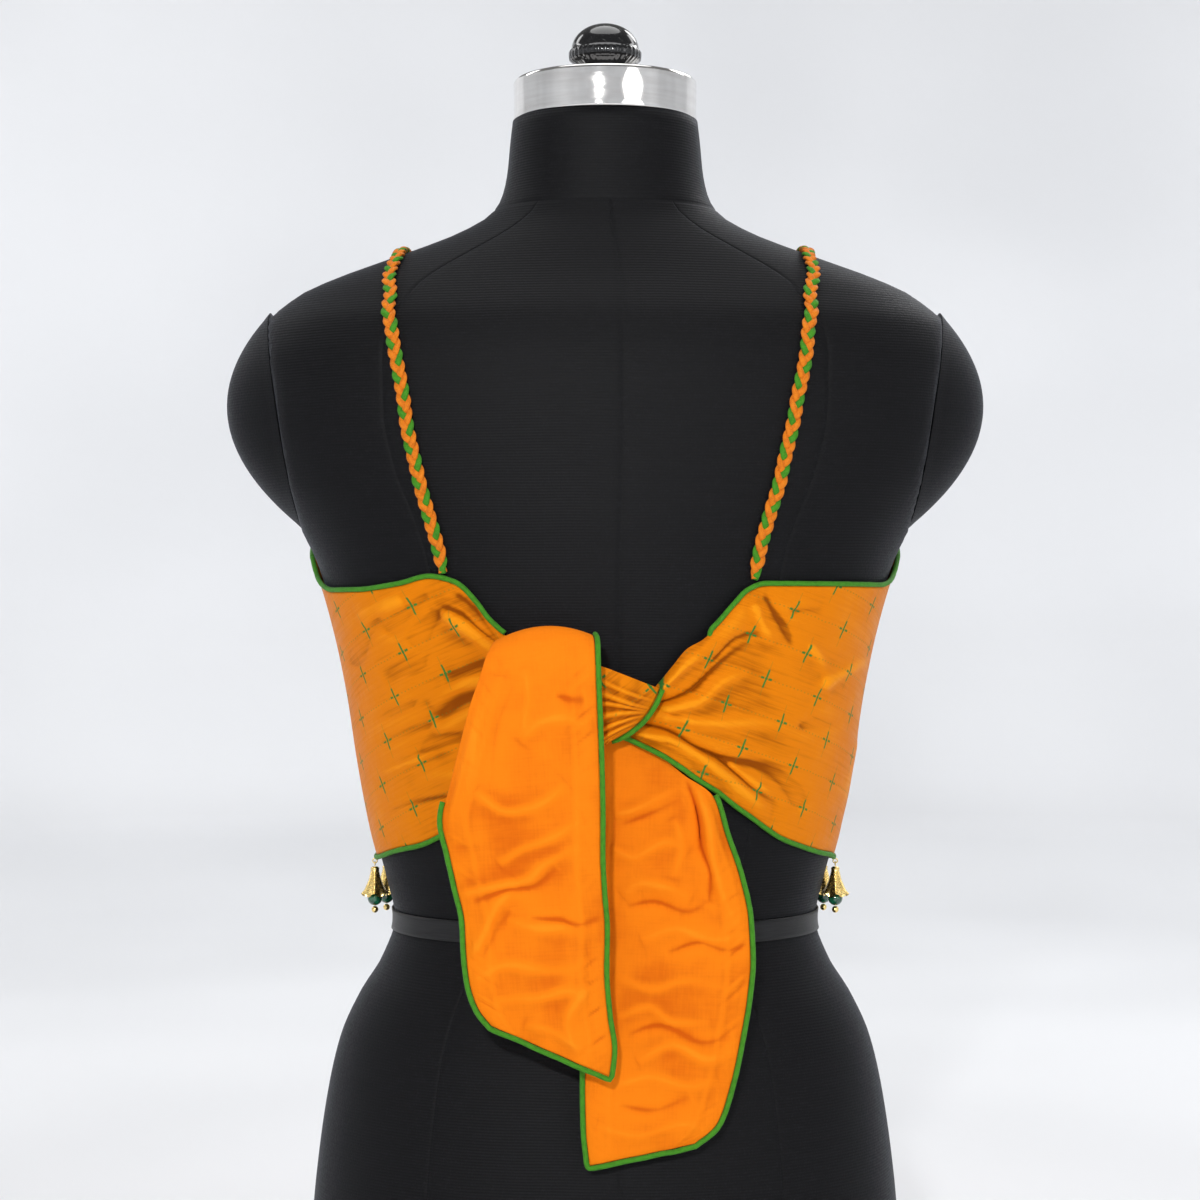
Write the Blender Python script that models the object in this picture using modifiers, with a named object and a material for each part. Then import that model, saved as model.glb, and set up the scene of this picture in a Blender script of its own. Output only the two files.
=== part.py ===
"""A sleeveless tie-back blouse, worn by a limbless dress form.

The wearer's back faces -Y, the bust faces +Y, +X is the wearer's right and +Z is up.
The origin is the middle of the form's flat base. Tables are in millimetres and degrees.
A turn is the way round the form: 0 at the middle of the back, 90 at the wearer's right side,
-90 at the left side and 180 at the middle of the front.
"""
import math

import bmesh
import bpy
import numpy as np
from mathutils import Matrix, Vector

MM = 0.001

# Sizes of the form
FORM_SEGMENTS = 36
FORM_ROUNDNESS = 2.2
NECK_TOP = 735
NECK_CAP_RADIUS = 54.0
NECK_CAP_HEIGHT = 24.5
KNOB_TOP = 794
ARM_SEAT_TOP = 620
ARM_SEAT_TOP_REACH = 195.5
ARM_SEAT_SLOPE = 0.152
ARM_SEAT_LOW = 470
ARM_CAP_MIDDLE = 559
ARM_CAP_HALF_HEIGHT = 64
ARM_CAP_HALF_DEPTH = 53
ARM_CAP_DOME = 35.5
WAIST_TAPE = (262, 274)
TAPE_THICKNESS = 0.9
TAPE_CLEAR = 0.4

# Sizes of the cloth
CLEAR = 1.2
WALL = 1.5
SEAM_GAP = 0.3
PIPING_RADIUS = 1.4
STRAP_PERIOD = 19.6
STRAP_HALF_WIDTH = 3.5
STRAP_HALF_DEPTH = 1.7
PLAIT_BULGE = 0.8
STRAP_CLEAR = 0.55
PIPING_PROUD = 0.7
SIDE_TURN = 92.0

# Sizes of a latkan, the bell that hangs at the hem
LOOP_RADIUS = 1.3
LOOP_WIRE = 0.35
EYE_RADIUS = 1.2
EYE_WIRE = 0.3
BELL_PETALS = 6
BELL_CURL = 0.7
BEAD_RADIUS = 4.35
BEAD_DEPTH = 18.6
HEM_FLARE = 1.2
TIP_RADIUS = 2.0


def table(names, *rows):
    """A short table: a dictionary of one array for each named column."""
    return dict(zip(names.split(), np.array(rows, float).T))


def smooth(x, at, values):
    """A curve through the values that never swings past them."""
    x = np.asarray(x, float)
    step = np.diff(at)
    slope = np.diff(values) / step
    tangent = np.zeros(len(at))
    tangent[0], tangent[-1] = slope[0], slope[-1]
    for i in range(1, len(at) - 1):
        if slope[i - 1] * slope[i] > 0:
            tangent[i] = 2 * slope[i - 1] * slope[i] / (slope[i - 1] + slope[i])
    k = np.clip(np.searchsorted(at, x) - 1, 0, len(at) - 2)
    t = np.clip((x - at[k]) / step[k], 0, 1)
    ease = 3 * t**2 - 2 * t**3
    return (
        values[k] * (1 - ease)
        + values[k + 1] * ease
        + step[k] * (tangent[k] * (t**3 - 2 * t**2 + t) + tangent[k + 1] * (t**3 - t**2))
    )


def column(rows, name, along):
    """A table's column read at places from 0, its first row, to 1, its last."""
    values = rows[name]
    return smooth(np.asarray(along) * (len(values) - 1), np.arange(len(values)), values)


FORM = table(
    "height half_width back front",
    (0, 170, 116, 108), (50, 173, 121, 112), (100, 171, 121, 112), (131, 168, 118, 109),
    (171, 162, 112, 104), (200, 155, 107, 100), (224, 144, 101, 96), (245, 131, 94, 93),
    (268, 123.5, 90, 91), (290, 128, 91, 92), (320, 136, 95, 95), (360, 143.5, 99, 99),
    (400, 149.5, 102, 102), (440, 158, 105, 105), (478, 170, 107, 107), (500, 182, 108, 107),
    (525, 199, 108, 105), (560, 211, 108, 101), (590, 212, 105, 95), (612, 205, 98, 86),
    (624.5, 190, 90, 78), (632, 180, 84.5, 73), (640, 163, 79, 68), (654.5, 123, 70, 60),
    (666, 92, 63, 55), (678, 70, 57, 53), (690, 61, 55, 54), (706, 57.5, 53, 55),
    (722, 56, 52, 55), (735, 54.5, 51, 54),
)
BUST = {"apart": 72, "spread": 50, "height": 503, "rise": 56, "depth": 28}


def arm_seat(height):
    """How far from the middle the flat seat of an arm cap is, at a height."""
    return ARM_SEAT_TOP_REACH - ARM_SEAT_SLOPE * (ARM_SEAT_TOP - np.maximum(height, ARM_SEAT_LOW))


def skin(turn, height):
    """A point on the form's skin."""
    angle = np.radians(np.asarray(turn, float) - 90)
    height = np.asarray(height, float) + 0 * angle
    across, deep = np.cos(angle), np.sin(angle)
    power = 2 / FORM_ROUNDNESS
    x = smooth(height, FORM["height"], FORM["half_width"]) * np.sign(across) * np.abs(across) ** power
    depth = np.where(
        deep > 0,
        smooth(height, FORM["height"], FORM["front"]),
        smooth(height, FORM["height"], FORM["back"]),
    )
    y = depth * np.sign(deep) * np.abs(deep) ** power
    mound = np.exp(
        -(((np.abs(x) - BUST["apart"]) / BUST["spread"]) ** 2)
        - ((height - BUST["height"]) / BUST["rise"]) ** 2
    )
    y = y + BUST["depth"] * mound * np.clip(3 * deep, 0, 1)
    seat = arm_seat(height)
    return np.stack([np.clip(x, -seat, seat), y, height], -1)


def outward(turn, height):
    """The direction straight out of the form's skin."""
    a_little = 0.5
    round_it = skin(turn + a_little, height) - skin(turn - a_little, height)
    up_it = skin(turn, height + a_little) - skin(turn, height - a_little)
    normal = np.cross(round_it, up_it)
    return normal / np.linalg.norm(normal, axis=-1, keepdims=True)


def off_form(turn, height, lift):
    """A point that stands off the form's skin."""
    turn = np.asarray(turn, float)
    return skin(turn, height) + outward(turn, height) * np.asarray(lift, float)[..., None]


def ridges(rows, across, height):
    """How far folds lift the cloth: each row is one fold, from its root to its end."""
    lift = np.zeros(np.shape(across))
    for i in range(len(rows["root_across"])):
        root = np.array([rows["root_across"][i], rows["root_height"][i]])
        run = np.array([rows["end_across"][i], rows["end_height"][i]]) - root
        from_root = np.stack([across - root[0], height - root[1]], -1)
        along = np.clip((from_root @ run) / (run @ run), 0, 1)
        aside = np.linalg.norm(from_root - along[..., None] * run, axis=-1)
        width = rows["width"][i] * (0.6 + 0.7 * along)
        lift = lift + rows["lift"][i] * np.exp(-((aside / width) ** 2)) * (1 - 0.75 * along)
    return lift


# The two back panels, from the side seam to the knot. The side is turned with its sign.
BACK_LEFT = table(
    "top_turn top hem_turn hem lift",
    (92, 479, 92, 306, 0), (84, 466, 84, 306, 0), (69, 459, 74, 308, 0), (56, 459, 58, 314, 0),
    (42, 462, 47.5, 318, 0), (33.6, 466, 39.7, 324, 0), (28, 463, 33, 331, 0.4),
    (24, 453, 27, 339, 1), (21, 442, 21.7, 347, 2), (17.5, 434, 17, 353, 3),
    (13.5, 430, 14, 358, 3.5), (10, 426, 11, 364, 4),
)
BACK_RIGHT = table(
    "top_turn top hem_turn hem lift",
    (92, 479, 92, 306, 0), (84, 467, 84, 306, 0), (70, 462, 74, 309, 0), (58, 462, 63, 312, 0),
    (46, 462, 52, 317, 0), (37, 462, 44, 322, 0.3), (30, 462, 38.3, 328, 0.8),
    (26.3, 459, 33, 335, 1.8), (23.5, 451, 28, 342, 3), (20.5, 441, 23.3, 350, 4.2),
    (17.4, 433, 18.5, 357, 5.5), (14.2, 428, 14, 365, 7), (11.5, 418, 10.5, 371, 7.5),
    (8.5, 407, 7, 376, 6.5), (5, 400, 4, 380, 5), (1, 397, 0.5, 383, 4.5),
)
FOLDS_LEFT = table(
    "root_across root_height end_across end_height width lift",
    (20, 415, 88, 455, 7, 4.5), (18, 400, 105, 425, 8, 5), (20, 386, 100, 385, 8, 4),
    (24, 372, 85, 350, 7, 3.5),
)
FOLDS_RIGHT = table(
    "root_across root_height end_across end_height width lift",
    (22, 412, 62, 452, 5.5, 4), (18, 402, 95, 432, 7, 4.5), (18, 393, 100, 396, 6.5, 4.5),
    (18, 386, 92, 358, 6, 4),
)

# The front panel, from the side seam to the middle of the front.
FRONT = table(
    "turn top hem",
    (92, 479, 305), (98, 484, 304), (106, 493, 304), (114, 506, 303), (122, 524, 303),
    (130, 546, 302), (138, 569, 301), (145, 589, 300), (149, 598, 300), (153, 598, 300),
    (157, 589, 299), (162, 575, 298), (168, 563, 297), (174, 556, 296), (180, 554, 296),
)
FRONT_EASE = 2.7
FRONT_BRIDGE = 2.5

# The straps, from the back panel's top edge over the shoulder to the front panel.
STRAP_LEFT = table(
    "turn height",
    (30, 469.3), (29.8, 499), (29, 528), (29.2, 557), (30.2, 580), (32, 602), (37.5, 626),
    (46, 640), (57, 649), (73, 654.5), (90, 656.5), (107, 654.5), (121, 649), (133, 638),
    (143, 622), (151, 601.9),
)
STRAP_RIGHT = table(
    "turn height",
    (27.3, 465.8), (27.2, 502), (26.8, 531), (27.4, 560), (28.6, 580), (30, 602), (35.2, 626),
    (44, 640), (56, 649.5), (73, 655), (90, 657), (107, 655), (121, 649.5), (133, 638),
    (143, 622), (151, 601.9),
)

# The tie that crosses the knot, from its root to its piped edge, in places and not in turns.
WRAP = table(
    "top_x top_z top_y end_x end_z end_y bow swell",
    (-34, 418, -111.6, -33, 376, -111.6, 0, 0), (-22, 420, -118, -24, 372, -115, 0, 3),
    (-12, 420, -123, -15, 370, -118, 0, 5), (-2, 418, -126, -8, 372, -120, 0.5, 5),
    (9, 414, -126, -3, 374, -120.5, 1.5, 4.5), (19, 410, -121.5, 0, 376, -118, 2.5, 3),
    (29, 406, -115.2, 3, 378, -115, 3, 1),
)

# The front tail, down its length: behind the knot, over it and down.
TAIL_FRONT = table(
    "left_x left_z left_y right_x right_z right_y crown",
    (-47, 423, -109.3, -33, 421.5, -113.1, 0), (-53, 430, -114, -17, 431.5, -120, 1),
    (-58, 432, -127, -8, 435, -130, 6), (-63, 425, -136, -6, 431, -138, 5),
    (-67, 413, -140, -5.5, 420, -142, 3), (-72, 398, -141, -5, 404, -143, 1),
    (-77, 378, -140, -4.2, 384, -142, 0), (-82.5, 356, -138, -3.4, 358, -140, 0),
    (-87, 336, -136, -3, 336, -138, 0), (-83.5, 318, -134, -3, 318, -136.5, 0),
    (-79.5, 300, -133, -2, 298, -136, 0), (-75.5, 282, -132, -0.5, 278, -135.5, 0),
    (-74.5, 264, -131.5, -0.8, 256, -135, 0), (-72.5, 248, -131.5, 1, 232, -135, 0),
    (-68, 235, -131.5, 3.5, 214, -135, 0), (-61, 226, -131.5, 2, 199, -135, 0),
)
# The rear tail, from under the knot down to its wide end.
TAIL_REAR = table(
    "left_x left_z left_y right_x right_z right_y crown",
    (0, 372, -103.5, 20, 371, -103.5, 0), (-4, 360, -104, 42, 358.9, -102.9, 0),
    (-8, 342, -105, 59, 346, -102, 0), (-11, 322, -106, 65.5, 325, -101.5, 0),
    (-13, 300, -108, 73, 303, -103, 0), (-13, 278, -110.5, 78, 279, -105, 0),
    (-12.5, 256, -113, 79, 257, -107.5, 0), (-12, 234, -115.5, 77, 236, -110, 0),
    (-11, 212, -118, 73, 214, -113, 0), (-11, 190, -121, 67.5, 190, -116, 0),
    (-10.5, 168, -123, 60, 170, -119, 0), (-8.5, 149, -124, 48, 160, -121, 0),
)
TAIL_WAVES = table("centre width depth", (0.2, 0.13, 2.2), (0.55, 0.16, 1.6), (0.84, 0.1, 2.0))

LATKANS = table("side turn hem", (-1, 89, 306), (-1, 104, 303.7), (1, 89, 306), (1, 104, 303.7))
# A bell's wall from its crown down the outside, up the inside and down its pin
BELL = table(
    "radius depth petal",
    (0, 0, 0), (1.4, 0, 0), (2.6, 0.9, 0), (2.3, 2.2, 0), (3.8, 8.0, 0.03), (6.2, 13.4, 0.07),
    (7.9, 16.4, 0.13), (7.0, 16.4, 0.13), (5.3, 13.4, 0.07), (3.0, 8.0, 0.03), (0.8, 4.5, 0),
    (0.8, 13.9, 0), (0, 13.9, 0),
)
BELL_SEGMENTS = 12
BELL_RIM = 7  # rows of the table down to the rim


def material(name, colour, roughness, metallic=0.0):
    """A plain finish, made once for each name."""
    finish = bpy.data.materials.new(name)
    finish.use_nodes = True
    shader = finish.node_tree.nodes["Principled BSDF"]
    shader.inputs["Base Color"].default_value = (*colour, 1)
    shader.inputs["Roughness"].default_value = roughness
    shader.inputs["Metallic"].default_value = metallic
    return finish


def put_in(obj, finish, collection):
    """Gives an object its finish and its collection."""
    for old in obj.users_collection:
        old.objects.unlink(obj)
    collection.objects.link(obj)
    obj.data.materials.clear()
    obj.data.materials.append(finish)
    return obj


def mesh_object(name, cage, finish, collection, closed=True):
    """An object from a finished bmesh cage."""
    if closed:
        face_outwards(cage)
    mesh = bpy.data.meshes.new(name)
    cage.to_mesh(mesh)
    cage.free()
    mesh.shade_smooth()
    return put_in(bpy.data.objects.new(name, mesh), finish, collection)


def face_outwards(cage):
    """Turns a closed cage's faces to point out."""
    bmesh.ops.recalc_face_normals(cage, faces=cage.faces)
    if cage.calc_volume(signed=True) < 0:
        bmesh.ops.reverse_faces(cage, faces=cage.faces)


def spun(profile, segments):
    """A closed cage spun from a profile of (radius, height) that starts and ends on the axis."""
    cage = bmesh.new()
    line = [cage.verts.new((radius, 0, height)) for radius, height in profile]
    edges = [cage.edges.new(pair) for pair in zip(line, line[1:])]
    bmesh.ops.spin(
        cage, geom=line + edges, axis=(0, 0, 1), cent=(0, 0, 0), angle=math.tau, steps=segments
    )
    bmesh.ops.remove_doubles(cage, verts=cage.verts, dist=1e-5)
    return cage


def cloth(name, across, down, place, finish, collection):
    """A wall of cloth: a grid laid on place(across, down), thickened outwards."""
    cage = bmesh.new()
    bmesh.ops.create_grid(cage, x_segments=across, y_segments=down, size=0.5)
    flat = np.array([vert.co[:2] for vert in cage.verts]) + 0.5
    for vert, point in zip(cage.verts, place(flat[:, 0], flat[:, 1])):
        vert.co = Vector(point) * MM
    cage.normal_update()
    facing = sum(face.normal.dot(face.calc_center_median() * Vector((1, 1, 0))) for face in cage.faces)
    if facing < 0:
        bmesh.ops.reverse_faces(cage, faces=cage.faces)
    obj = mesh_object(name, cage, finish, collection, closed=False)
    wall = obj.modifiers.new("Cloth thickness", "SOLIDIFY")
    wall.thickness = WALL * MM
    wall.offset = 1
    wall.use_even_offset = True
    wall.thickness_clamp = 1.0
    return obj


def tube(name, points, radius, finish, collection, resolution=0):
    """A round cord of cloth or wire along a line of points."""
    curve = bpy.data.curves.new(name, "CURVE")
    curve.dimensions = "3D"
    curve.bevel_depth = radius * MM
    curve.bevel_resolution = resolution
    curve.use_fill_caps = True
    line = curve.splines.new("POLY")
    line.points.add(len(points) - 1)
    for spot, point in zip(line.points, points):
        spot.co = (*(np.array(point) * MM), 1)
    return put_in(bpy.data.objects.new(name, curve), finish, collection)


def edge_line(place, u, v, reach):
    """Points outside a sheet's edge: each lies on the sheet's mid wall, a reach away from it."""
    a_little = 0.002
    u, v = np.asarray(u, float), np.asarray(v, float)
    here = place(u, v)
    by_u = (place(u + a_little, v) - place(u - a_little, v)) / (2 * a_little)
    by_v = (place(u, v + a_little) - place(u, v - a_little)) / (2 * a_little)
    along = np.gradient(here, axis=0)
    along /= np.linalg.norm(along, axis=-1, keepdims=True)
    normal = np.cross(by_u, by_v)
    normal /= np.linalg.norm(normal, axis=-1, keepdims=True)
    away = np.cross(along, normal)
    middle = place(0 * u + 0.5, 0 * v + 0.5)
    away *= np.sign(((here - middle) * away).sum(-1, keepdims=True))
    facing = np.sign((normal * here * [1, 1, 0]).sum())
    return here + away * reach + normal * facing * (WALL / 2 + PIPING_PROUD)


def back_place(side, rows, folds):
    """Where a back panel's cloth lies, from its side seam (0) to the knot (1), hem (0) to top (1)."""

    def place(u, v):
        turn = column(rows, "hem_turn", u) * (1 - v) + column(rows, "top_turn", u) * v
        height = column(rows, "hem", u) * (1 - v) + column(rows, "top", u) * v
        across = np.abs(skin(turn, height)[..., 0])
        fade = np.clip((u - 0.12) / 0.3, 0, 1)
        inside = np.clip(v * (1 - v) * 8, 0, 1)
        lift = CLEAR + column(rows, "lift", u) + ridges(folds, across, height) * fade * inside
        return off_form(side * turn, height, lift)

    return place


def front_place(u, v):
    """Where the front panel's cloth lies, from the right side seam (0) to the left one (1)."""
    u = np.asarray(u, float)
    to_middle = 1 - np.abs(2 * u - 1)
    turn = column(FRONT, "turn", to_middle)
    turn = np.where(u < 0.5, turn, 360 - turn)
    height = column(FRONT, "hem", to_middle) * (1 - v) + column(FRONT, "top", to_middle) * v
    ease = FRONT_EASE * np.clip(to_middle * 4, 0, 1) * np.clip(0.8 + 2 * v * (1 - v), 0, 1)
    bridge = FRONT_BRIDGE * np.exp(-(((turn - 180) / 14) ** 2))
    return off_form(turn, height, CLEAR + ease + bridge)


def wrap_place(u, v):
    """Where the crossing tie lies: u from its root to its piped edge, v from its lower end to its top."""
    top = np.stack([column(WRAP, "top_" + axis, u) for axis in "xyz"], -1)
    end = np.stack([column(WRAP, "end_" + axis, u) for axis in "xyz"], -1)
    v = np.asarray(v, float)
    middle = 4 * v * (1 - v)
    point = end * (1 - v)[..., None] + top * v[..., None]
    bow = column(WRAP, "bow", u) * middle
    swell = column(WRAP, "swell", u) * middle + 0.9 * np.sin(v * math.tau * 3) * middle
    return point + np.stack([bow, -swell, -bow], -1)


def tail_place(rows, wave_sign):
    """Where a tail lies: u across it from left to right, v down its length."""

    def place(u, v):
        u = np.asarray(u, float)
        left = np.stack([column(rows, "left_" + axis, v) for axis in "xyz"], -1)
        right = np.stack([column(rows, "right_" + axis, v) for axis in "xyz"], -1)
        point = left * (1 - u)[..., None] + right * u[..., None]
        crown = column(rows, "crown", v) * 4 * u * (1 - u)
        wave = 0 * u
        for centre, width, depth in zip(*TAIL_WAVES.values()):
            wave = wave + depth * np.exp(-(((u - centre - 0.08 * np.sin(5 * v)) / width) ** 2))
        wave = wave * np.clip(3 * v - 0.4, 0, 1) * wave_sign
        return point + np.stack([0 * u, -wave, crown], -1)

    return place


def make_form(collection):
    """The dress form: its torso, arm caps, waist tape, chrome neck cap and knob."""
    jersey = material("black_jersey", (0.012, 0.012, 0.014), 0.85)
    tape = material("black_tape", (0.03, 0.03, 0.035), 0.55)
    chrome = material("chrome", (0.8, 0.8, 0.82), 0.12, 1.0)
    gloss = material("gloss_black", (0.01, 0.01, 0.012), 0.2)

    heights = [0, 60, 110, 150, 190, 225, 246, *WAIST_TAPE, 295, 330, 370, 405, 435, 458, 480, 505, 535, 570,
               600, 621, 634, 645, 655, 666, 680, 700, NECK_TOP]
    profile = [(0, 0)] + [(1, height) for height in heights] + [(0, NECK_TOP)]
    cage = spun(profile, FORM_SEGMENTS)
    for vert in cage.verts:
        radius = math.hypot(vert.co.x, vert.co.y)
        turn = math.degrees(math.atan2(vert.co.y, vert.co.x)) + 90
        height = vert.co.z
        vert.co = Vector(skin(turn, height) if radius > 0.5 else (0, 0, height)) * MM
    mesh_object("form_torso", cage, jersey, collection)

    low, high = WAIST_TAPE
    band = [(1, low), (1, high), (2, high), (2, low), (1, low)]
    cage = spun(band, FORM_SEGMENTS)
    for vert in cage.verts:
        radius = math.hypot(vert.co.x, vert.co.y)
        turn = math.degrees(math.atan2(vert.co.y, vert.co.x)) + 90
        lift = TAPE_CLEAR if radius < 1.5 else TAPE_CLEAR + TAPE_THICKNESS
        vert.co = Vector(off_form(turn, vert.co.z, lift)) * MM
    mesh_object("form_waist_tape", cage, tape, collection)

    for side, word in ((-1, "left"), (1, "right")):
        dome = [(reach, 1 - reach**2) for reach in (0, 0.3, 0.55, 0.75, 0.9, 1)] + [(0, 0)]
        cage = spun(dome, 18)
        for vert in cage.verts:
            depth = vert.co.x * ARM_CAP_HALF_DEPTH
            height = ARM_CAP_MIDDLE + vert.co.y * ARM_CAP_HALF_HEIGHT
            out = arm_seat(height) + SEAM_GAP + vert.co.z * ARM_CAP_DOME
            vert.co = Vector((side * out, depth, height)) * MM
        mesh_object("form_arm_cap_" + word, cage, jersey, collection)

    bottom = NECK_TOP + SEAM_GAP
    bpy.ops.mesh.primitive_cylinder_add(
        vertices=40, radius=NECK_CAP_RADIUS * MM, depth=NECK_CAP_HEIGHT * MM,
        location=(0, 0.0015, (bottom + NECK_CAP_HEIGHT / 2) * MM),
    )
    cap = put_in(bpy.context.object, chrome, collection)
    cap.name = cap.data.name = "form_neck_cap"
    rounding = cap.modifiers.new("Rolled edge", "BEVEL")
    rounding.width = 1.6 * MM
    rounding.segments = 2
    rounding.limit_method = "ANGLE"

    foot = bottom + NECK_CAP_HEIGHT + SEAM_GAP
    profile = [(0, foot), (16, foot), (15, foot + 8), (20.5, foot + 12), (21.5, foot + 14.5),
               (21.5, foot + 17), (19.5, foot + 20), (17.5, foot + 26), (11, KNOB_TOP - 2.2),
               (0, KNOB_TOP)]
    cage = spun([(radius * MM, height * MM) for radius, height in profile], 24)
    bmesh.ops.translate(cage, verts=cage.verts, vec=(0, 0.0015, 0))
    mesh_object("form_knob", cage, gloss, collection)


def make_panels(collection):
    """The back panels, the front, the knot's crossing tie and the two tails."""
    silk = material("orange_silk", (0.68, 0.22, 0.012), 0.5)
    lining = material("orange_cotton", (0.9, 0.22, 0.01), 0.8)
    gap_in_degrees = 0.12
    places = {
        "back_left": back_place(-1, BACK_LEFT, FOLDS_LEFT),
        "back_right": back_place(1, BACK_RIGHT, FOLDS_RIGHT),
        "front": front_place,
        "knot_wrap": wrap_place,
        "tail_front": tail_place(TAIL_FRONT, 1),
        "tail_rear": tail_place(TAIL_REAR, 0.6),
    }
    for rows in (BACK_LEFT, BACK_RIGHT):
        rows["top_turn"][0] = rows["hem_turn"][0] = SIDE_TURN - gap_in_degrees
    FRONT["turn"][0] = SIDE_TURN + gap_in_degrees
    cells = {
        "back_left": (20, 10, silk), "back_right": (24, 10, silk), "front": (30, 10, silk),
        "knot_wrap": (6, 8, silk), "tail_front": (7, 28, lining), "tail_rear": (8, 18, lining),
    }
    for name, (across, down, finish) in cells.items():
        cloth(name, across, down, places[name], finish, collection)
    return places


def make_piping(places, collection):
    """The green piping round every edge of the cloth."""
    green = material("green_piping", (0.07, 0.35, 0.03), 0.6)
    one = np.ones

    def run(name, sheet, u, v):
        line = edge_line(places[sheet], u, v, PIPING_RADIUS + SEAM_GAP)
        tube(name, line, PIPING_RADIUS, green, collection)

    for sheet, cells in (("back_left", 20), ("back_right", 24)):
        along = np.arange(cells + 1) / cells
        top_end = 17 if sheet == "back_left" else 18
        run("piping_" + sheet + "_top", sheet, along[: top_end + 1], one(top_end + 1))
        run("piping_" + sheet + "_hem", sheet, along[:-1], 0 * along[:-1])
    along = np.arange(9) / 8
    run("piping_knot", "knot_wrap", one(9), along)
    along = np.arange(31) / 30
    run("piping_front_hem", "front", along, 0 * along)
    for name, first, last in (
        ("piping_armhole_right", 0, 9), ("piping_neckline", 9, 21), ("piping_armhole_left", 21, 30)
    ):
        some = along[first : last + 1]
        run(name, "front", some, one(len(some)))

    for sheet, rows, cells, left_from, right_from in (
        ("tail_front", 28, 7, 14, 4), ("tail_rear", 18, 8, 4, 4)
    ):
        down = np.arange(rows + 1) / rows
        across = np.arange(1, cells) / cells
        u = np.concatenate([0 * down[left_from:], across, one(rows + 1 - right_from)])
        v = np.concatenate([down[left_from:], one(cells - 1), down[right_from:][::-1]])
        run("piping_" + sheet, sheet, u, v)


def make_straps(collection):
    """The two shoulder straps, each a three-strand plait with its bulges along both edges."""
    orange = material("strap_silk", (0.75, 0.25, 0.015), 0.55)
    for side, word, rows in ((-1, "left", STRAP_LEFT), (1, "right", STRAP_RIGHT)):
        fine = np.linspace(0, 1, 400)
        turn, height = side * column(rows, "turn", fine), column(rows, "height", fine)
        centre = off_form(turn, height, STRAP_HALF_DEPTH + STRAP_CLEAR + 0 * fine)
        out = outward(turn, height)
        length = np.concatenate([[0], np.cumsum(np.linalg.norm(np.diff(centre, axis=0), axis=1))])
        stations = int(length[-1] / STRAP_PERIOD * 6)
        places = np.linspace(0, length[-1], stations + 1)
        line = np.stack([np.interp(places, length, centre[:, k]) for k in range(3)], -1)
        normal = np.stack([np.interp(places, length, out[:, k]) for k in range(3)], -1)
        normal /= np.linalg.norm(normal, axis=1, keepdims=True)
        along = np.gradient(line, axis=0)
        sideways = np.cross(along, normal)
        sideways /= np.linalg.norm(sideways, axis=1, keepdims=True)
        profile = [(0, 0)] + [(1, station) for station in range(stations + 1)] + [(0, stations)]
        cage = spun(profile, 6)
        for vert in cage.verts:
            station = round(vert.co.z)
            cosine, sine = vert.co.x, vert.co.y
            phase = math.tau * places[station] / STRAP_PERIOD
            edge = PLAIT_BULGE * math.cos(phase + (math.pi if cosine < 0 else 0)) * abs(cosine)
            crossing = PLAIT_BULGE * 0.6 * math.sin(phase) * cosine * abs(sine) * 2
            vert.co = Vector(
                line[station]
                + sideways[station] * cosine * (STRAP_HALF_WIDTH + edge)
                + normal[station] * sine * (STRAP_HALF_DEPTH + crossing)
            ) * MM
        mesh_object("strap_" + word, cage, orange, collection)


def ring(name, radius, wire, along_z, finish, collection):
    """A wire ring whose hole faces x, or y, with its middle at the origin."""
    turned = (0, math.pi / 2, 0) if along_z == "x" else (math.pi / 2, 0, 0)
    bpy.ops.mesh.primitive_torus_add(
        major_segments=8, minor_segments=4, major_radius=radius * MM, minor_radius=wire * MM,
        rotation=turned,
    )
    obj = put_in(bpy.context.object, finish, collection)
    obj.name = obj.data.name = name
    obj.data.transform(Matrix.Rotation(turned[1], 4, "Y") @ Matrix.Rotation(turned[0], 4, "X"))
    obj.rotation_euler = (0, 0, 0)
    return obj


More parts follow.
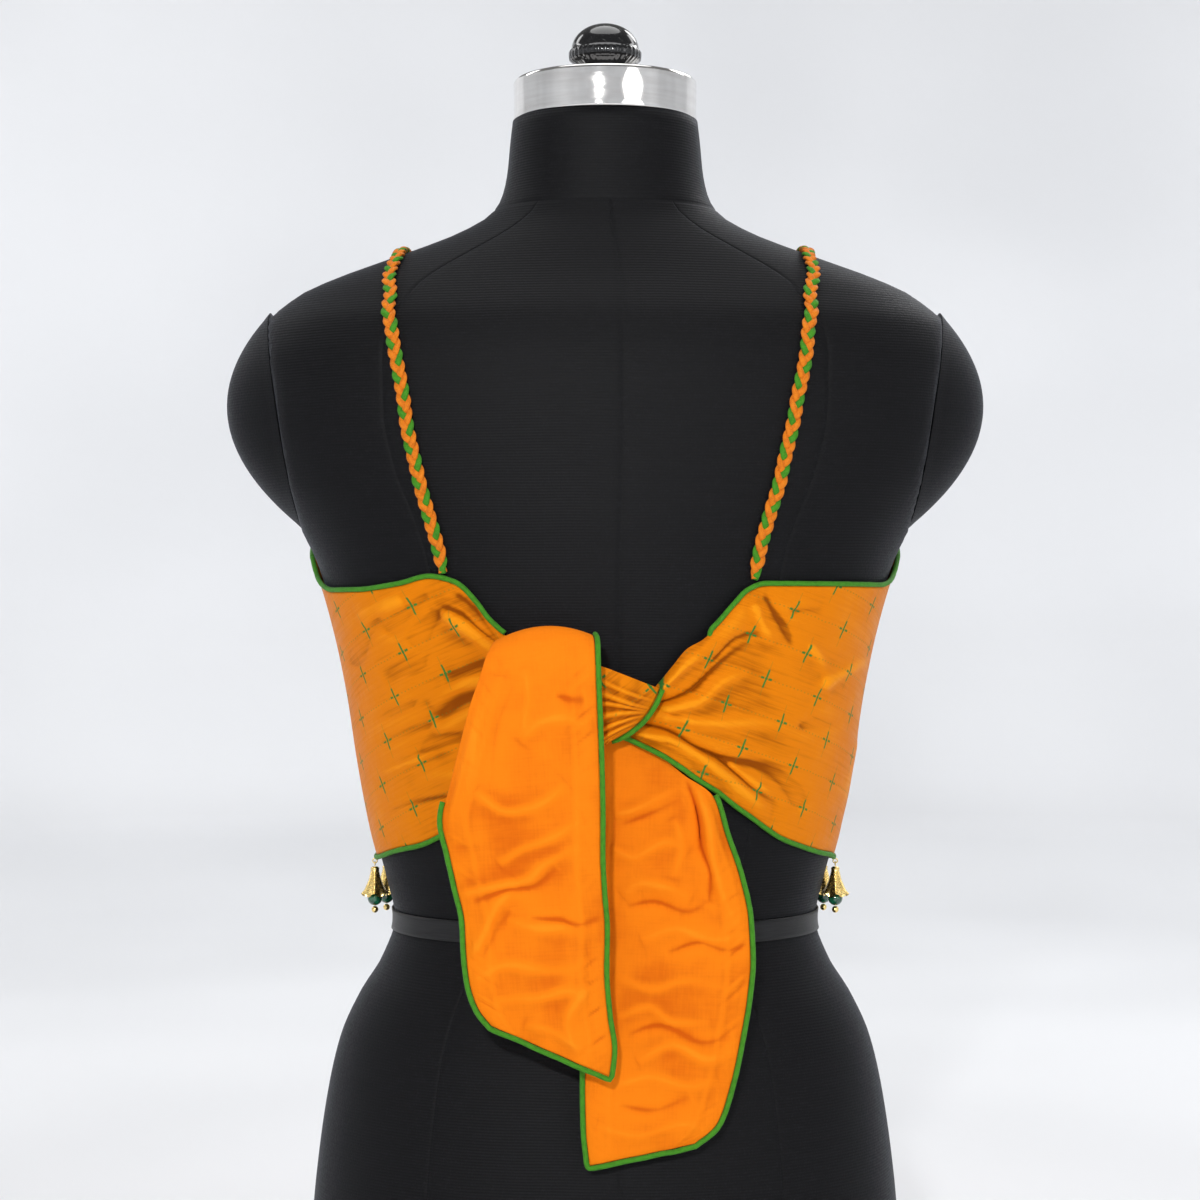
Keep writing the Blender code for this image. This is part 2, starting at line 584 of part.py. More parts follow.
def make_latkans(collection):
    """Four hem bells, each on its own hinge line through the loop that it hangs in."""
    gold = material("gold_metal", (0.85, 0.6, 0.2), 0.25, 1.0)
    glass = material("green_glass", (0.0, 0.12, 0.04), 0.08)
    count = {-1: 0, 1: 0}
    for side, turn, hem in zip(*LATKANS.values()):
        side = int(side)
        count[side] += 1
        name = f"latkan_{'left' if side < 0 else 'right'}_{count[side]}"
        hem -= PIPING_RADIUS + SEAM_GAP
        foot = off_form(side * turn, hem, CLEAR + WALL / 2 + PIPING_PROUD)
        out = outward(side * turn, hem) * [1, 1, 0]
        out /= np.linalg.norm(out)
        facing = math.atan2(out[1], out[0])
        foot = foot + out * HEM_FLARE
        loop_reach = PIPING_RADIUS + SEAM_GAP + LOOP_RADIUS + LOOP_WIRE
        loop_middle = -math.sqrt(loop_reach**2 - HEM_FLARE**2)
        hinge_drop = loop_middle - (LOOP_RADIUS - LOOP_WIRE - EYE_WIRE - SEAM_GAP)
        holder = bpy.data.objects.new(name, None)
        collection.objects.link(holder)
        holder.location = Vector((*foot[:2], foot[2] + hinge_drop)) * MM
        holder.rotation_euler = (0, 0, facing)

        loop = ring(name + "_loop", LOOP_RADIUS, LOOP_WIRE, "y", gold, collection)
        loop.location = Vector((*foot[:2], foot[2] + loop_middle)) * MM
        loop.rotation_euler = (0, 0, facing)

        eye = ring(name + "_eye", EYE_RADIUS, EYE_WIRE, "x", gold, collection)
        eye.location = (0, 0, -EYE_RADIUS * MM)
        eye.parent = holder

        bell_top = -(2 * EYE_RADIUS + EYE_WIRE + SEAM_GAP)
        cage = spun(list(zip(BELL["radius"], -BELL["depth"])), BELL_SEGMENTS)
        for vert in cage.verts:
            angle = math.atan2(vert.co.y, vert.co.x)
            petal = np.interp(-vert.co.z, BELL["depth"][:BELL_RIM], BELL["petal"][:BELL_RIM])
            if math.hypot(vert.co.x, vert.co.y) < 1:
                petal = 0
            wave = -math.cos(BELL_PETALS * angle)
            curl = BELL_CURL * wave if -vert.co.z > 16 else 0
            flare = 1 + petal * wave
            vert.co = Vector((vert.co.x * flare, vert.co.y * flare, vert.co.z + curl)) * MM
        bell = mesh_object(name + "_bell", cage, gold, collection)
        bell.location = (0, 0, bell_top * MM)
        bell.parent = holder

        for piece, radius, depth, rows, finish in (
            ("_bead", BEAD_RADIUS, BEAD_DEPTH, (8, 6), glass),
            ("_tip", TIP_RADIUS, BEAD_DEPTH + BEAD_RADIUS + SEAM_GAP + TIP_RADIUS, (8, 4), gold),
        ):
            cage = bmesh.new()
            bmesh.ops.create_uvsphere(cage, u_segments=rows[0], v_segments=rows[1], radius=radius * MM)
            bead = mesh_object(name + piece, cage, finish, collection)
            bead.location = (0, 0, (bell_top - depth) * MM)
            bead.parent = holder


def main():
    for old in list(bpy.data.objects):
        bpy.data.objects.remove(old)
    collection = bpy.data.collections.new("tie_back_blouse")
    bpy.context.scene.collection.children.link(collection)
    make_form(collection)
    places = make_panels(collection)
    make_piping(places, collection)
    make_straps(collection)
    make_latkans(collection)


main()
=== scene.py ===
"""Looks for a sleeveless tie-back blouse, worn by a limbless dress form.

The silk has small woven crosses, the tails show their cotton lining, the edges are piped, the
straps are plaited and bells hang at the hem. Lengths are in millimetres and turns in degrees
until a mesh is written, in metres. A turn is the way round the form: 0 at the middle of the
back, 90 at the wearer's right side and 180 at the middle of the front.
"""

import math

import bpy
import numpy as np
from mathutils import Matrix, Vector


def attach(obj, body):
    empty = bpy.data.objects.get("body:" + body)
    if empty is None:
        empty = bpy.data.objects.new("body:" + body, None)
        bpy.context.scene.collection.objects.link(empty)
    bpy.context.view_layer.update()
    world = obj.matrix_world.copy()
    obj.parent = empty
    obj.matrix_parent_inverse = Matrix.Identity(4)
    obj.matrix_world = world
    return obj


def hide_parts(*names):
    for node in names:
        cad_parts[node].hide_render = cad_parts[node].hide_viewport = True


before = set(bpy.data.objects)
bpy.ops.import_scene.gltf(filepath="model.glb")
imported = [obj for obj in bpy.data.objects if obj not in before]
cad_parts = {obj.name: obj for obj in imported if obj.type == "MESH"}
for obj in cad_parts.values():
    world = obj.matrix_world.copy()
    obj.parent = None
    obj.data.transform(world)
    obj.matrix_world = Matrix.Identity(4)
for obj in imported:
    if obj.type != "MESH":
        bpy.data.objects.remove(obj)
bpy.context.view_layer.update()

bl_info = {
    "name": "Tie-back blouse",
    "version": (1, 0, 0),
    "blender": (4, 5, 0),
    "location": "View3D > Sidebar > Blouse",
    "description": "Builds the looks of a tie-back blouse on a dress form",
    "category": "Object",
}

MM = 0.001

# Sizes of the form
FORM_ROUNDNESS = 2.2
NECK_TOP = 735
NECK_CAP_RADIUS = 54.0
NECK_CAP_HEIGHT = 24.5
KNOB_TOP = 794
CAP_FORWARD = 1.5
ARM_SEAT_TOP = 620
ARM_SEAT_TOP_REACH = 195.5
ARM_SEAT_SLOPE = 0.152
ARM_SEAT_LOW = 470
ARM_CAP_MIDDLE = 559
ARM_CAP_HALF_HEIGHT = 64
ARM_CAP_HALF_DEPTH = 53
ARM_CAP_DOME = 35.5
WAIST_TAPE = (262, 274)
TAPE_CLEAR = 0.4
TAPE_THICKNESS = 0.9
NECK_SEAM = 682.0
GROOVE_DEPTH = 0.55
SEAM_TURNS = (-180, -147, -90, -33.5, 2, 33.5, 90, 147, 180)

# Sizes of the cloth
CLEAR = 1.2
SEAM_GAP = 0.3
PIPING_PROUD = 0.7
LEAST_CLEAR = 0.7
TUCK_IN = 4.0
TUCK_UNDER = 3.2
STRAP_PERIOD = 19.6
STRAP_LIFT = 2.25
STRAP_SWING = 2.5
STRAP_DIP = 1.0
CAD_HALF_WALL = 0.75
CAD_PIPING_RADIUS = 1.4
BACK_CREASES = 1.3
FRONT_CREASE_BREADTH = 1.3
TAIL_CREASES = 2.5
TAIL_CREASE_BREADTH = 2.7
TAIL_SEAM_FROM_EDGE = 12.5
TAIL_SEAM_HALF_WIDTH = 1.8
TAIL_SEAM_HEIGHT = 0.3
PIPING_STATION = 1.3
STRAND_STATION = 0.8
STRAND_RADII = (1.15, 1.85)
CORD_SIDES = 12
MERGE_NEARER = 2e-6

# Sizes in the weave, in metres as the finishes read them
MOTIF_HALF_THREAD = 0.00058
MOTIF_HALF_HEIGHT = 0.0051
MOTIF_HALF_WIDTH = 0.0036
MOTIF_GAP = 0.0011
WEFT_DASH = 0.0027
SILK_WEAVE = 0.0009
COTTON_WEAVE = 0.0008
CORD_WEAVE = 0.0011

# Sizes of a latkan, the bell that hangs at the hem
LOOP_RADIUS = 1.3
LOOP_WIRE = 0.35
EYE_RADIUS = 1.2
EYE_WIRE = 0.3
HEM_FLARE = 1.2
BELL_PETALS = 6
BELL_CURL = 1.1
BELL_WALL = 0.8
BELL_RIBS = 15
BELL_RIB_DEPTH = 0.24
BELL_RIBS_FROM = 2.5
BELL_RIBS_TO = 15.6
BELL_DEPTH = 16.4
BELL_STEPS = 60
BEAD_STEPS = 40
BEAD_RADIUS = 4.35
BEAD_DEPTH = 18.6
TIP_RADIUS = 2.0


def table(names, *rows):
    """A short table: a dictionary of one array for each named column."""
    return dict(zip(names.split(), np.array(rows, float).T))


def smooth(x, at, values):
    """A curve through the values that never swings past them."""
    x = np.asarray(x, float)
    step = np.diff(at)
    slope = np.diff(values) / step
    tangent = np.zeros(len(at))
    tangent[0], tangent[-1] = slope[0], slope[-1]
    for i in range(1, len(at) - 1):
        if slope[i - 1] * slope[i] > 0:
            tangent[i] = 2 * slope[i - 1] * slope[i] / (slope[i - 1] + slope[i])
    k = np.clip(np.searchsorted(at, x) - 1, 0, len(at) - 2)
    t = np.clip((x - at[k]) / step[k], 0, 1)
    ease = 3 * t**2 - 2 * t**3
    return (
        values[k] * (1 - ease)
        + values[k + 1] * ease
        + step[k] * (tangent[k] * (t**3 - 2 * t**2 + t) + tangent[k + 1] * (t**3 - t**2))
    )


def distances(points):
    """How far along a line of points each of them is."""
    return np.concatenate([[0], np.cumsum(np.linalg.norm(np.diff(points, axis=0), axis=1))])


def column(rows, name, along):
    """A table's column read at places from 0, its first row, to 1, its last."""
    values = rows[name]
    return smooth(np.asarray(along) * (len(values) - 1), np.arange(len(values)), values)


FORM = table(
    "height half_width back front",
    (0, 170, 116, 108), (50, 173, 121, 112), (100, 171, 121, 112), (131, 168, 118, 109),
    (171, 162, 112, 104), (200, 155, 107, 100), (224, 144, 101, 96), (245, 131, 94, 93),
    (268, 123.5, 90, 91), (290, 128, 91, 92), (320, 136, 95, 95), (360, 143.5, 99, 99),
    (400, 149.5, 102, 102), (440, 158, 105, 105), (478, 170, 107, 107), (500, 182, 108, 107),
    (525, 199, 108, 105), (560, 211, 108, 101), (590, 212, 105, 95), (612, 205, 98, 86),
    (624.5, 190, 90, 78), (632, 180, 84.5, 73), (640, 163, 79, 68), (654.5, 123, 70, 60),
    (666, 92, 63, 55), (678, 70, 57, 53), (690, 61, 55, 54), (706, 57.5, 53, 55),
    (722, 56, 52, 55), (735, 54.5, 51, 54),
)
BUST = {"apart": 72, "spread": 50, "height": 503, "rise": 56, "depth": 28}


def arm_seat(height):
    """How far from the middle the flat seat of an arm cap is, at a height."""
    return ARM_SEAT_TOP_REACH - ARM_SEAT_SLOPE * (ARM_SEAT_TOP - np.maximum(height, ARM_SEAT_LOW))


def form_sizes(height):
    """Half the form's width, and its depths behind and in front of its middle, at heights."""
    return [smooth(height, FORM["height"], FORM[name]) for name in ("half_width", "back", "front")]


def skin(turn, height):
    """A point on the form's skin."""
    angle = np.radians(np.asarray(turn, float) - 90)
    height = np.asarray(height, float) + 0 * angle
    across, deep = np.cos(angle), np.sin(angle)
    power = 2 / FORM_ROUNDNESS
    half_width, back, front = form_sizes(height)
    x = half_width * np.sign(across) * np.abs(across) ** power
    depth = np.where(deep > 0, front, back)
    y = depth * np.sign(deep) * np.abs(deep) ** power
    mound = np.exp(
        -(((np.abs(x) - BUST["apart"]) / BUST["spread"]) ** 2)
        - ((height - BUST["height"]) / BUST["rise"]) ** 2
    )
    y = y + BUST["depth"] * mound * np.clip(3 * deep, 0, 1)
    seat = arm_seat(height)
    return np.stack([np.clip(x, -seat, seat), y, height], -1)


def outward(turn, height):
    """The direction straight out of the form's skin."""
    a_little = 0.5
    round_it = skin(turn + a_little, height) - skin(turn - a_little, height)
    up_it = skin(turn, height + a_little) - skin(turn, height - a_little)
    normal = np.cross(round_it, up_it)
    return normal / np.linalg.norm(normal, axis=-1, keepdims=True)


def off_form(turn, height, lift):
    """A point that stands off the form's skin."""
    turn = np.asarray(turn, float)
    return skin(turn, height) + outward(turn, height) * np.asarray(lift, float)[..., None]


def round_the_form(turn):
    """How far a turn is from the middle of the back, measured along the cloth."""
    turns = np.linspace(-270, 270, 541)
    length = distances(skin(turns, 400 + 0 * turns))
    return np.interp(turn, turns, length - np.interp(0, turns, length))


# The two back panels, from the side seam to the knot. The side is turned with its sign.
BACK_LEFT = table(
    "top_turn top hem_turn hem lift",
    (92, 479, 92, 306, 0), (84, 466, 84, 306, 0), (69, 459, 74, 308, 0), (56, 459, 58, 314, 0),
    (42, 462, 47.5, 318, 0), (33.6, 466, 39.7, 324, 0), (28, 463, 33, 331, 0.4),
    (24, 453, 27, 339, 1), (21, 442, 21.7, 347, 2), (17.5, 434, 17, 353, 3),
    (13.5, 430, 14, 358, 3.5), (10, 426, 11, 364, 4),
)
BACK_RIGHT = table(
    "top_turn top hem_turn hem lift",
    (92, 479, 92, 306, 0), (84, 467, 84, 306, 0), (70, 462, 74, 309, 0), (58, 462, 63, 312, 0),
    (46, 462, 52, 317, 0), (37, 462, 44, 322, 0.3), (30, 462, 38.3, 328, 0.8),
    (26.3, 459, 33, 335, 1.8), (23.5, 451, 28, 342, 3), (20.5, 441, 23.3, 350, 4.2),
    (17.4, 433, 18.5, 357, 5.5), (14.2, 428, 14, 365, 7), (11.5, 418, 10.5, 371, 7.5),
    (8.5, 407, 7, 376, 6.5), (5, 400, 4, 380, 5), (1, 397, 0.5, 383, 4.5),
)
# Creases: width, lift at the start, lift at the end, then the line that the crease follows
CREASES_LEFT = (
    (3.5, -2.6, -2.2, (83, 458), (73, 450), (58, 434), (52, 428)),
    (1.6, -1.2, -1.0, (90, 451), (80, 446), (68, 437), (57, 430), (50, 424)),
    (5.5, 2.8, 2.2, (89, 447), (79, 440), (69, 433), (58, 424)),
    (4.5, -0.6, -1.8, (98, 459), (106, 453), (117, 443), (121, 434)),
    (5.0, -1.2, -2.4, (92, 449), (101, 438), (106, 429)),
    (5.0, -0.6, -1.8, (125, 444), (134, 435), (139, 423), (138, 414)),
    (6.0, 1.6, 0.8, (112, 455), (126, 450), (140, 446)),
    (6.5, -1.5, -0.7, (60, 420), (69, 418), (80, 412), (90, 410)),
    (6.5, -1.9, -1.0, (56, 404), (70, 402), (78, 399), (87, 392), (94, 385)),
    (6.0, 2.0, 1.0, (58, 411), (74, 408), (88, 402), (98, 395)),
    (6.0, 2.2, 0.8, (54, 396), (68, 394), (82, 387), (94, 378)),
    (5.0, -2.6, -0.8, (62, 379), (80, 377), (94, 372), (104, 365)),
    (3.0, -1.0, -0.4, (96, 384), (110, 381), (130, 373)),
    (6.0, -1.4, -0.5, (98, 424), (110, 418), (124, 411)),
    (3.0, -1.0, -0.4, (106, 398), (118, 393), (132, 385)),
    (1.4, 0.8, 0.5, (78, 374), (104, 364), (131, 355)),
    (1.4, -0.8, -0.4, (86, 346), (106, 340), (126, 333)),
    (7.0, 1.6, 0.5, (62, 362), (84, 358), (108, 350)),
)
CREASES_RIGHT = (
    (6.5, 4.8, 1.6, (26, 404), (40, 418), (55, 433), (70, 445), (81, 455)),
    (3.2, -3.0, -1.2, (25, 396), (45, 405), (56, 415), (65, 423), (78, 431)),
    (4.5, 2.6, 0.6, (27, 393), (50, 400), (66, 411), (80, 414)),
    (2.2, -1.2, -0.6, (56, 421), (70, 433), (86, 436)),
    (3, -1.3, -0.4, (19, 395), (30, 393), (44, 387)),
    (6, 2.0, 0.4, (24, 390), (56, 388), (92, 384), (118, 376)),
    (3.2, -3.2, -2.4, (13, 387), (30, 383), (45, 375), (61, 368), (70, 361), (82, 350), (98, 339)),
    (4.5, 3.4, 2.0, (14, 382), (36, 376), (60, 362), (78, 347), (92, 336)),
    (4.0, -1.2, -2.6, (58, 370), (76, 365), (92, 358), (106, 345), (110, 336)),
    (2.4, -1.0, -0.6, (30, 377), (46, 370), (62, 356)),
    (2.6, 1.4, 0.8, (66, 366), (80, 355), (95, 344)),
    (3.0, -2.0, -0.9, (88, 457), (94, 448), (100, 436), (102, 428)),
    (4.5, 1.8, 0.8, (82, 452), (85, 442), (92, 430)),
    (2.4, -0.9, -0.3, (103, 449), (112, 449), (124, 447)),
    (3.5, -1.4, -0.5, (107, 383), (120, 386), (134, 385)),
    (4.5, 1.5, 0.5, (120, 407), (134, 413), (152, 421)),
    (5, 1.2, 0.5, (146, 372), (138, 350), (140, 326)),
    (4, 0.9, 0.3, (112, 430), (120, 418), (124, 402)),
)

# The front panel, from the side seam to the middle of the front.
FRONT = table(
    "turn top hem",
    (92, 479, 305), (98, 484, 304), (106, 493, 304), (114, 506, 303), (122, 524, 303),
    (130, 546, 302), (138, 569, 301), (145, 589, 300), (149, 598, 300), (153, 598, 300),
    (157, 589, 299), (162, 575, 298), (168, 563, 297), (174, 556, 296), (180, 554, 296),
)
FRONT_EASE = 2.7
FRONT_BRIDGE = 2.5
# The front's creases, across as millimetres round the form from the middle of the front
CREASES_FRONT = (
    (8, 2.4, 1.4, (-158, 462), (-138, 474), (-118, 484), (-98, 490)),
    (6, -1.6, -1.0, (-154, 448), (-132, 458), (-110, 470)),
    (7, 2.0, 1.2, (-160, 428), (-134, 430), (-108, 438), (-88, 446)),
    (9, 2.6, 1.6, (-74, 462), (-70, 424), (-76, 378), (-92, 330)),
    (7, -1.8, -1.2, (-52, 458), (-48, 420), (-52, 372)),
    (6, 1.4, 1.0, (-104, 446), (-108, 408), (-122, 362)),
    (7, 1.8, 1.2, (-34, 442), (-20, 410), (-24, 366), (-38, 326)),
    (7, 1.8, 1.0, (-160, 378), (-138, 368), (-112, 366)),
    (5, -1.2, -0.8, (-156, 362), (-136, 354), (-116, 356)),
    (8, 2.2, 1.4, (156, 458), (136, 468), (114, 482), (96, 486)),
    (6, -1.6, -1.0, (152, 444), (128, 456), (104, 464)),
    (6, 1.6, 1.0, (160, 420), (138, 420), (114, 430)),
    (8, 2.4, 1.4, (80, 460), (76, 418), (86, 372), (98, 322)),
    (7, -1.8, -1.2, (58, 460), (52, 414), (60, 362)),
    (7, 1.6, 1.0, (28, 438), (24, 396), (30, 346)),
    (6, 1.2, 0.8, (112, 440), (120, 398), (132, 358)),
    (7, 1.6, 1.0, (158, 386), (134, 374), (108, 372)),
    (6, 1.4, 0.8, (150, 342), (124, 336), (94, 340)),
    (8, 1.8, 1.2, (-16, 520), (2, 506), (18, 520)),
    (6, 1.2, 0.8, (-96, 524), (-86, 548), (-84, 578)),
    (6, 1.2, 0.8, (94, 522), (90, 550), (83, 580)),
)

# The straps, from the back panel's top edge over the shoulder to the front panel.
STRAP_LEFT = table(
    "turn height",
    (30, 469.3), (29.8, 499), (29, 528), (29.2, 557), (30.2, 580), (32, 602), (37.5, 626),
    (46, 640), (57, 649), (73, 654.5), (90, 656.5), (107, 654.5), (121, 649), (133, 638),
    (143, 622), (151, 601.9),
)
STRAP_RIGHT = table(
    "turn height",
    (27.3, 465.8), (27.2, 502), (26.8, 531), (27.4, 560), (28.6, 580), (30, 602), (35.2, 626),
    (44, 640), (56, 649.5), (73, 655), (90, 657), (107, 655), (121, 649.5), (133, 638),
    (143, 622), (151, 601.9),
)

# The tie that crosses the knot, from its root to its piped edge, in places and not in turns.
WRAP = table(
    "top_x top_z top_y end_x end_z end_y bow swell",
    (-34, 418, -111.6, -33, 376, -111.6, 0, 0), (-22, 420, -118, -24, 372, -115, 0, 3),
    (-12, 420, -123, -15, 370, -118, 0, 5), (-2, 418, -126, -8, 372, -120, 0.5, 5),
    (9, 414, -126, -3, 374, -120.5, 1.5, 4.5), (19, 410, -121.5, 0, 376, -118, 2.5, 3),
    (29, 406, -115.2, 3, 378, -115, 3, 1),
)
# Its folds, which gather towards the piped edge's top
WRAP_FOLDS = table(
    "at width depth",
    (-0.3, 0.06, 1.6), (-0.08, 0.045, 1.1), (0.1, 0.06, 1.9), (0.27, 0.04, 1.2),
    (0.42, 0.055, 2.0), (0.56, 0.035, 1.0), (0.68, 0.05, 1.5), (0.86, 0.04, 0.9),
)

# The front tail, down its length: behind the knot, over it and down.
TAIL_FRONT = table(
    "left_x left_z left_y right_x right_z right_y crown",
    (-47, 423, -109.3, -33, 421.5, -113.1, 0), (-53, 430, -114, -17, 431.5, -120, 1),
    (-58, 432, -127, -8, 435, -130, 6), (-63, 425, -136, -6, 431, -138, 5),
    (-67, 413, -140, -5.5, 420, -142, 3), (-72, 398, -141, -5, 404, -143, 1),
    (-77, 378, -140, -4.2, 384, -142, 0), (-82.5, 356, -138, -3.4, 358, -140, 0),
    (-87, 336, -136, -3, 336, -138, 0), (-83.5, 318, -134, -3, 318, -136.5, 0),
    (-79.5, 300, -133, -2, 298, -136, 0), (-75.5, 282, -132, -0.5, 278, -135.5, 0),
    (-74.5, 264, -131.5, -0.8, 256, -135, 0), (-72.5, 248, -131.5, 1, 232, -135, 0),
    (-68, 235, -131.5, 3.5, 214, -135, 0), (-61, 226, -131.5, 2, 199, -135, 0),
)
# The rear tail, from under the knot down to its wide end.
TAIL_REAR = table(
    "left_x left_z left_y right_x right_z right_y crown",
    (0, 381, -103.5, 20, 378, -103.5, 0), (-4, 362, -104, 42, 358.9, -102.9, 0),
    (-8, 342, -105, 59, 346, -102, 0), (-11, 322, -106, 65.5, 325, -101.5, 0),
    (-13, 300, -108, 73, 303, -103, 0), (-13, 278, -110.5, 78, 279, -105, 0),
    (-12.5, 256, -113, 79, 257, -107.5, 0), (-12, 234, -115.5, 77, 236, -110, 0),
    (-11, 212, -118, 73, 214, -113, 0), (-11, 190, -121, 67.5, 190, -116, 0),
    (-10.5, 168, -123, 60, 170, -119, 0), (-8.5, 149, -124, 48, 160, -121, 0),
)
TAIL_WAVES = table("centre width depth", (0.2, 0.13, 2.2), (0.55, 0.16, 1.6), (0.84, 0.1, 2.0))
# Wrinkles of the tails, in places (x, z) as the tails hang
WRINKLES_FRONT = (
    (5.0, 2.2, 1.4, (-58, 412), (-64, 396), (-71, 372), (-76, 340), (-77, 322)),
    (3.0, -0.7, -0.5, (-48, 412), (-54, 396), (-60, 372), (-63, 350)),
    (2.2, 1.1, 0.8, (-44, 414), (-42, 398), (-43, 380)),
    (1.6, -0.9, -0.6, (-28, 402), (-20, 401), (-12, 402)),
    (3.0, 1.2, 0.8, (-44, 378), (-34, 388), (-22, 391), (-8, 386)),
    (2.6, 1.2, 0.9, (-58, 312), (-44, 322), (-26, 328), (-12, 336)),
    (2.4, 1.5, 1.2, (-79, 296), (-58, 300), (-44, 304), (-34, 313), (-10, 323)),
    (1.6, -1.1, -0.8, (-70, 292), (-52, 299), (-40, 302), (-26, 312)),
    (3.2, 1.3, 1.0, (-52, 282), (-36, 279), (-20, 281), (-2, 280)),
    (1.4, -0.9, -0.8, (-40, 284), (-26, 284), (-14, 281), (-1, 284)),
    (2.4, 1.3, 1.1, (-73, 264), (-64, 276), (-56, 292), (-47, 303)),
    (2.2, -0.5, -0.4, (-67, 262), (-58, 276), (-50, 288)),
    (3.6, 1.2, 0.9, (-74, 250), (-54, 258), (-32, 256), (-8, 262)),
    (3.0, 1.1, 0.8, (-60, 240), (-40, 240), (-20, 246), (-4, 240)),
    (2.2, 1.0, 0.8, (-70, 352), (-52, 342), (-34, 346), (-22, 356)),
    (2.4, 0.9, 0.7, (-42, 226), (-26, 222), (-12, 212)),
    (2.0, 0.9, 0.7, (-10, 250), (-20, 230), (-14, 210)),
)
WRINKLES_REAR = (
    (3.4, 2.6, 1.8, (48, 362), (53, 340), (57, 318), (64, 296), (70, 272)),
    (1.5, -2.4, -1.6, (44, 360), (49, 340), (52, 320), (59, 302), (56, 286)),
    (2.4, 1.4, 1.0, (4, 337), (16, 341), (28, 346), (46, 352)),
    (1.6, -0.6, -0.4, (8, 332), (24, 338), (42, 344)),
    (2.6, 1.0, 0.8, (4, 318), (16, 314), (32, 322), (46, 316)),
    (3.0, 1.3, 1.0, (8, 292), (20, 300), (34, 298), (46, 290)),
    (1.8, -0.9, -0.7, (10, 286), (26, 290), (44, 284), (56, 288)),
    (3.0, 1.2, 0.9, (20, 268), (38, 276), (58, 268), (76, 272)),
    (2.0, -1.1, -0.8, (34, 262), (50, 268), (66, 262), (78, 266)),
    (3.6, 1.2, 0.9, (4, 250), (24, 242), (46, 248), (74, 240)),
    (2.4, 1.0, 0.8, (6, 228), (22, 232), (36, 224), (56, 226)),
    (1.8, -0.9, -0.7, (12, 218), (30, 222), (52, 214), (68, 218)),
    (2.8, 1.3, 1.0, (18, 204), (38, 212), (56, 206), (74, 212)),
    (2.4, 0.9, 0.7, (2, 192), (22, 196), (44, 190), (62, 194)),
    (2.0, -0.8, -0.6, (6, 182), (26, 178), (46, 184)),
    (2.6, 1.0, 0.7, (-4, 170), (18, 166), (40, 170), (56, 164)),
    (2.2, 0.8, 0.6, (36, 334), (42, 318), (38, 302)),
)

LATKANS = table("side turn hem", (-1, 89, 306), (-1, 104, 303.7), (1, 89, 306), (1, 104, 303.7))
# A bell's outside, from its crown down to its rim
BELL = table(
    "radius depth petal",
    (0.01, 0, 0), (1.4, 0, 0), (2.6, 0.9, 0), (2.3, 2.2, 0), (3.8, 8.0, 0.03), (6.2, 13.4, 0.07),
    (7.9, 16.4, 0.13),
)


def along_line(points, x, z):
    """How near places are to a line of points, and how far along it the nearest point is."""
    best = np.full(np.shape(x), np.inf)
    where = np.zeros(np.shape(x))
    points = np.array(points, float)
    for i, (start, end) in enumerate(zip(points, points[1:])):
        run = end - start
        t = np.clip(((x - start[0]) * run[0] + (z - start[1]) * run[1]) / (run @ run), 0, 1)
        away = np.hypot(x - start[0] - t * run[0], z - start[1] - t * run[1])
        nearer = away < best
        best = np.where(nearer, away, best)
        where = np.where(nearer, (i + t) / (len(points) - 1), where)
    return best, where


def crease_lift(creases, x, z, breadth=1.0, tapered=False):
    """How far creases move the cloth: ridges lift it and troughs lower it.

    A crease has a narrow crest and wide flanks, wanders a little and dies away at its end.
    """
    lift = np.zeros(np.shape(x))
    x_bent = x + 1.1 * np.sin(z / 8.3 + 0.9 + x / 31)
    z_bent = z + 1.0 * np.sin(x / 9.7 + z / 27)
    for width, start, end, *points in creases:
        given = np.arange(len(points), dtype=float)
        fine = np.linspace(0, len(points) - 1, 4 * len(points))
        bowed = np.stack([smooth(fine, given, np.array(points, float)[:, k]) for k in (0, 1)], -1)
        away, along = along_line(bowed, x_bent, z_bent)
        spread = breadth * width * (0.7 + 0.6 * along)
        strength = (start + (end - start) * along) * (1 + 0.2 * np.sin(9 * along + 3 * width))
        if tapered:
            strength = strength * (4 * along * (1 - along)) ** 0.8
        else:
            strength = strength * (1 - along**5) * np.clip(0.35 + 9 * along, 0, 1)
        crest = np.sqrt(away**2 + (0.2 * width) ** 2) - 0.2 * width
        lift = lift + strength * np.exp(-((crest / (0.66 * spread)) ** 1.15))
    return lift


def pucker(at, seed):
    """Small uneven puckers along a seam, few and far between, from -1 to 1."""
    waves = np.sin(at * 0.83 + seed) + np.sin(at * 1.31 + 2.1 * seed) + np.sin(at * 0.47 + 4 * seed)
    return np.clip(waves / 2.2, -1, 1) ** 3


def back_place(side, rows, creases):
    """Where a back panel lies: u from its side seam to the knot, v from its hem to its top."""

    def place(u, v):
        turn = column(rows, "hem_turn", u) * (1 - v) + column(rows, "top_turn", u) * v
        height = column(rows, "hem", u) * (1 - v) + column(rows, "top", u) * v
        across = np.abs(skin(turn, height)[..., 0])
        inside = np.clip(v * (1 - v) * 9, 0, 1) * np.clip(u * 8, 0, 1) * np.clip((1 - u) * 12, 0, 1)
        arc = round_the_form(turn)
        ripple = 0.25 * pucker(arc, 1.7 * side) * np.exp(-np.minimum(v, 1 - v) * 22)
        creased = BACK_CREASES * crease_lift(creases, across, height) * inside
        lift = CLEAR + column(rows, "lift", u) + creased
        return off_form(side * turn, height, np.maximum(lift + ripple * inside, LEAST_CLEAR))

    return place


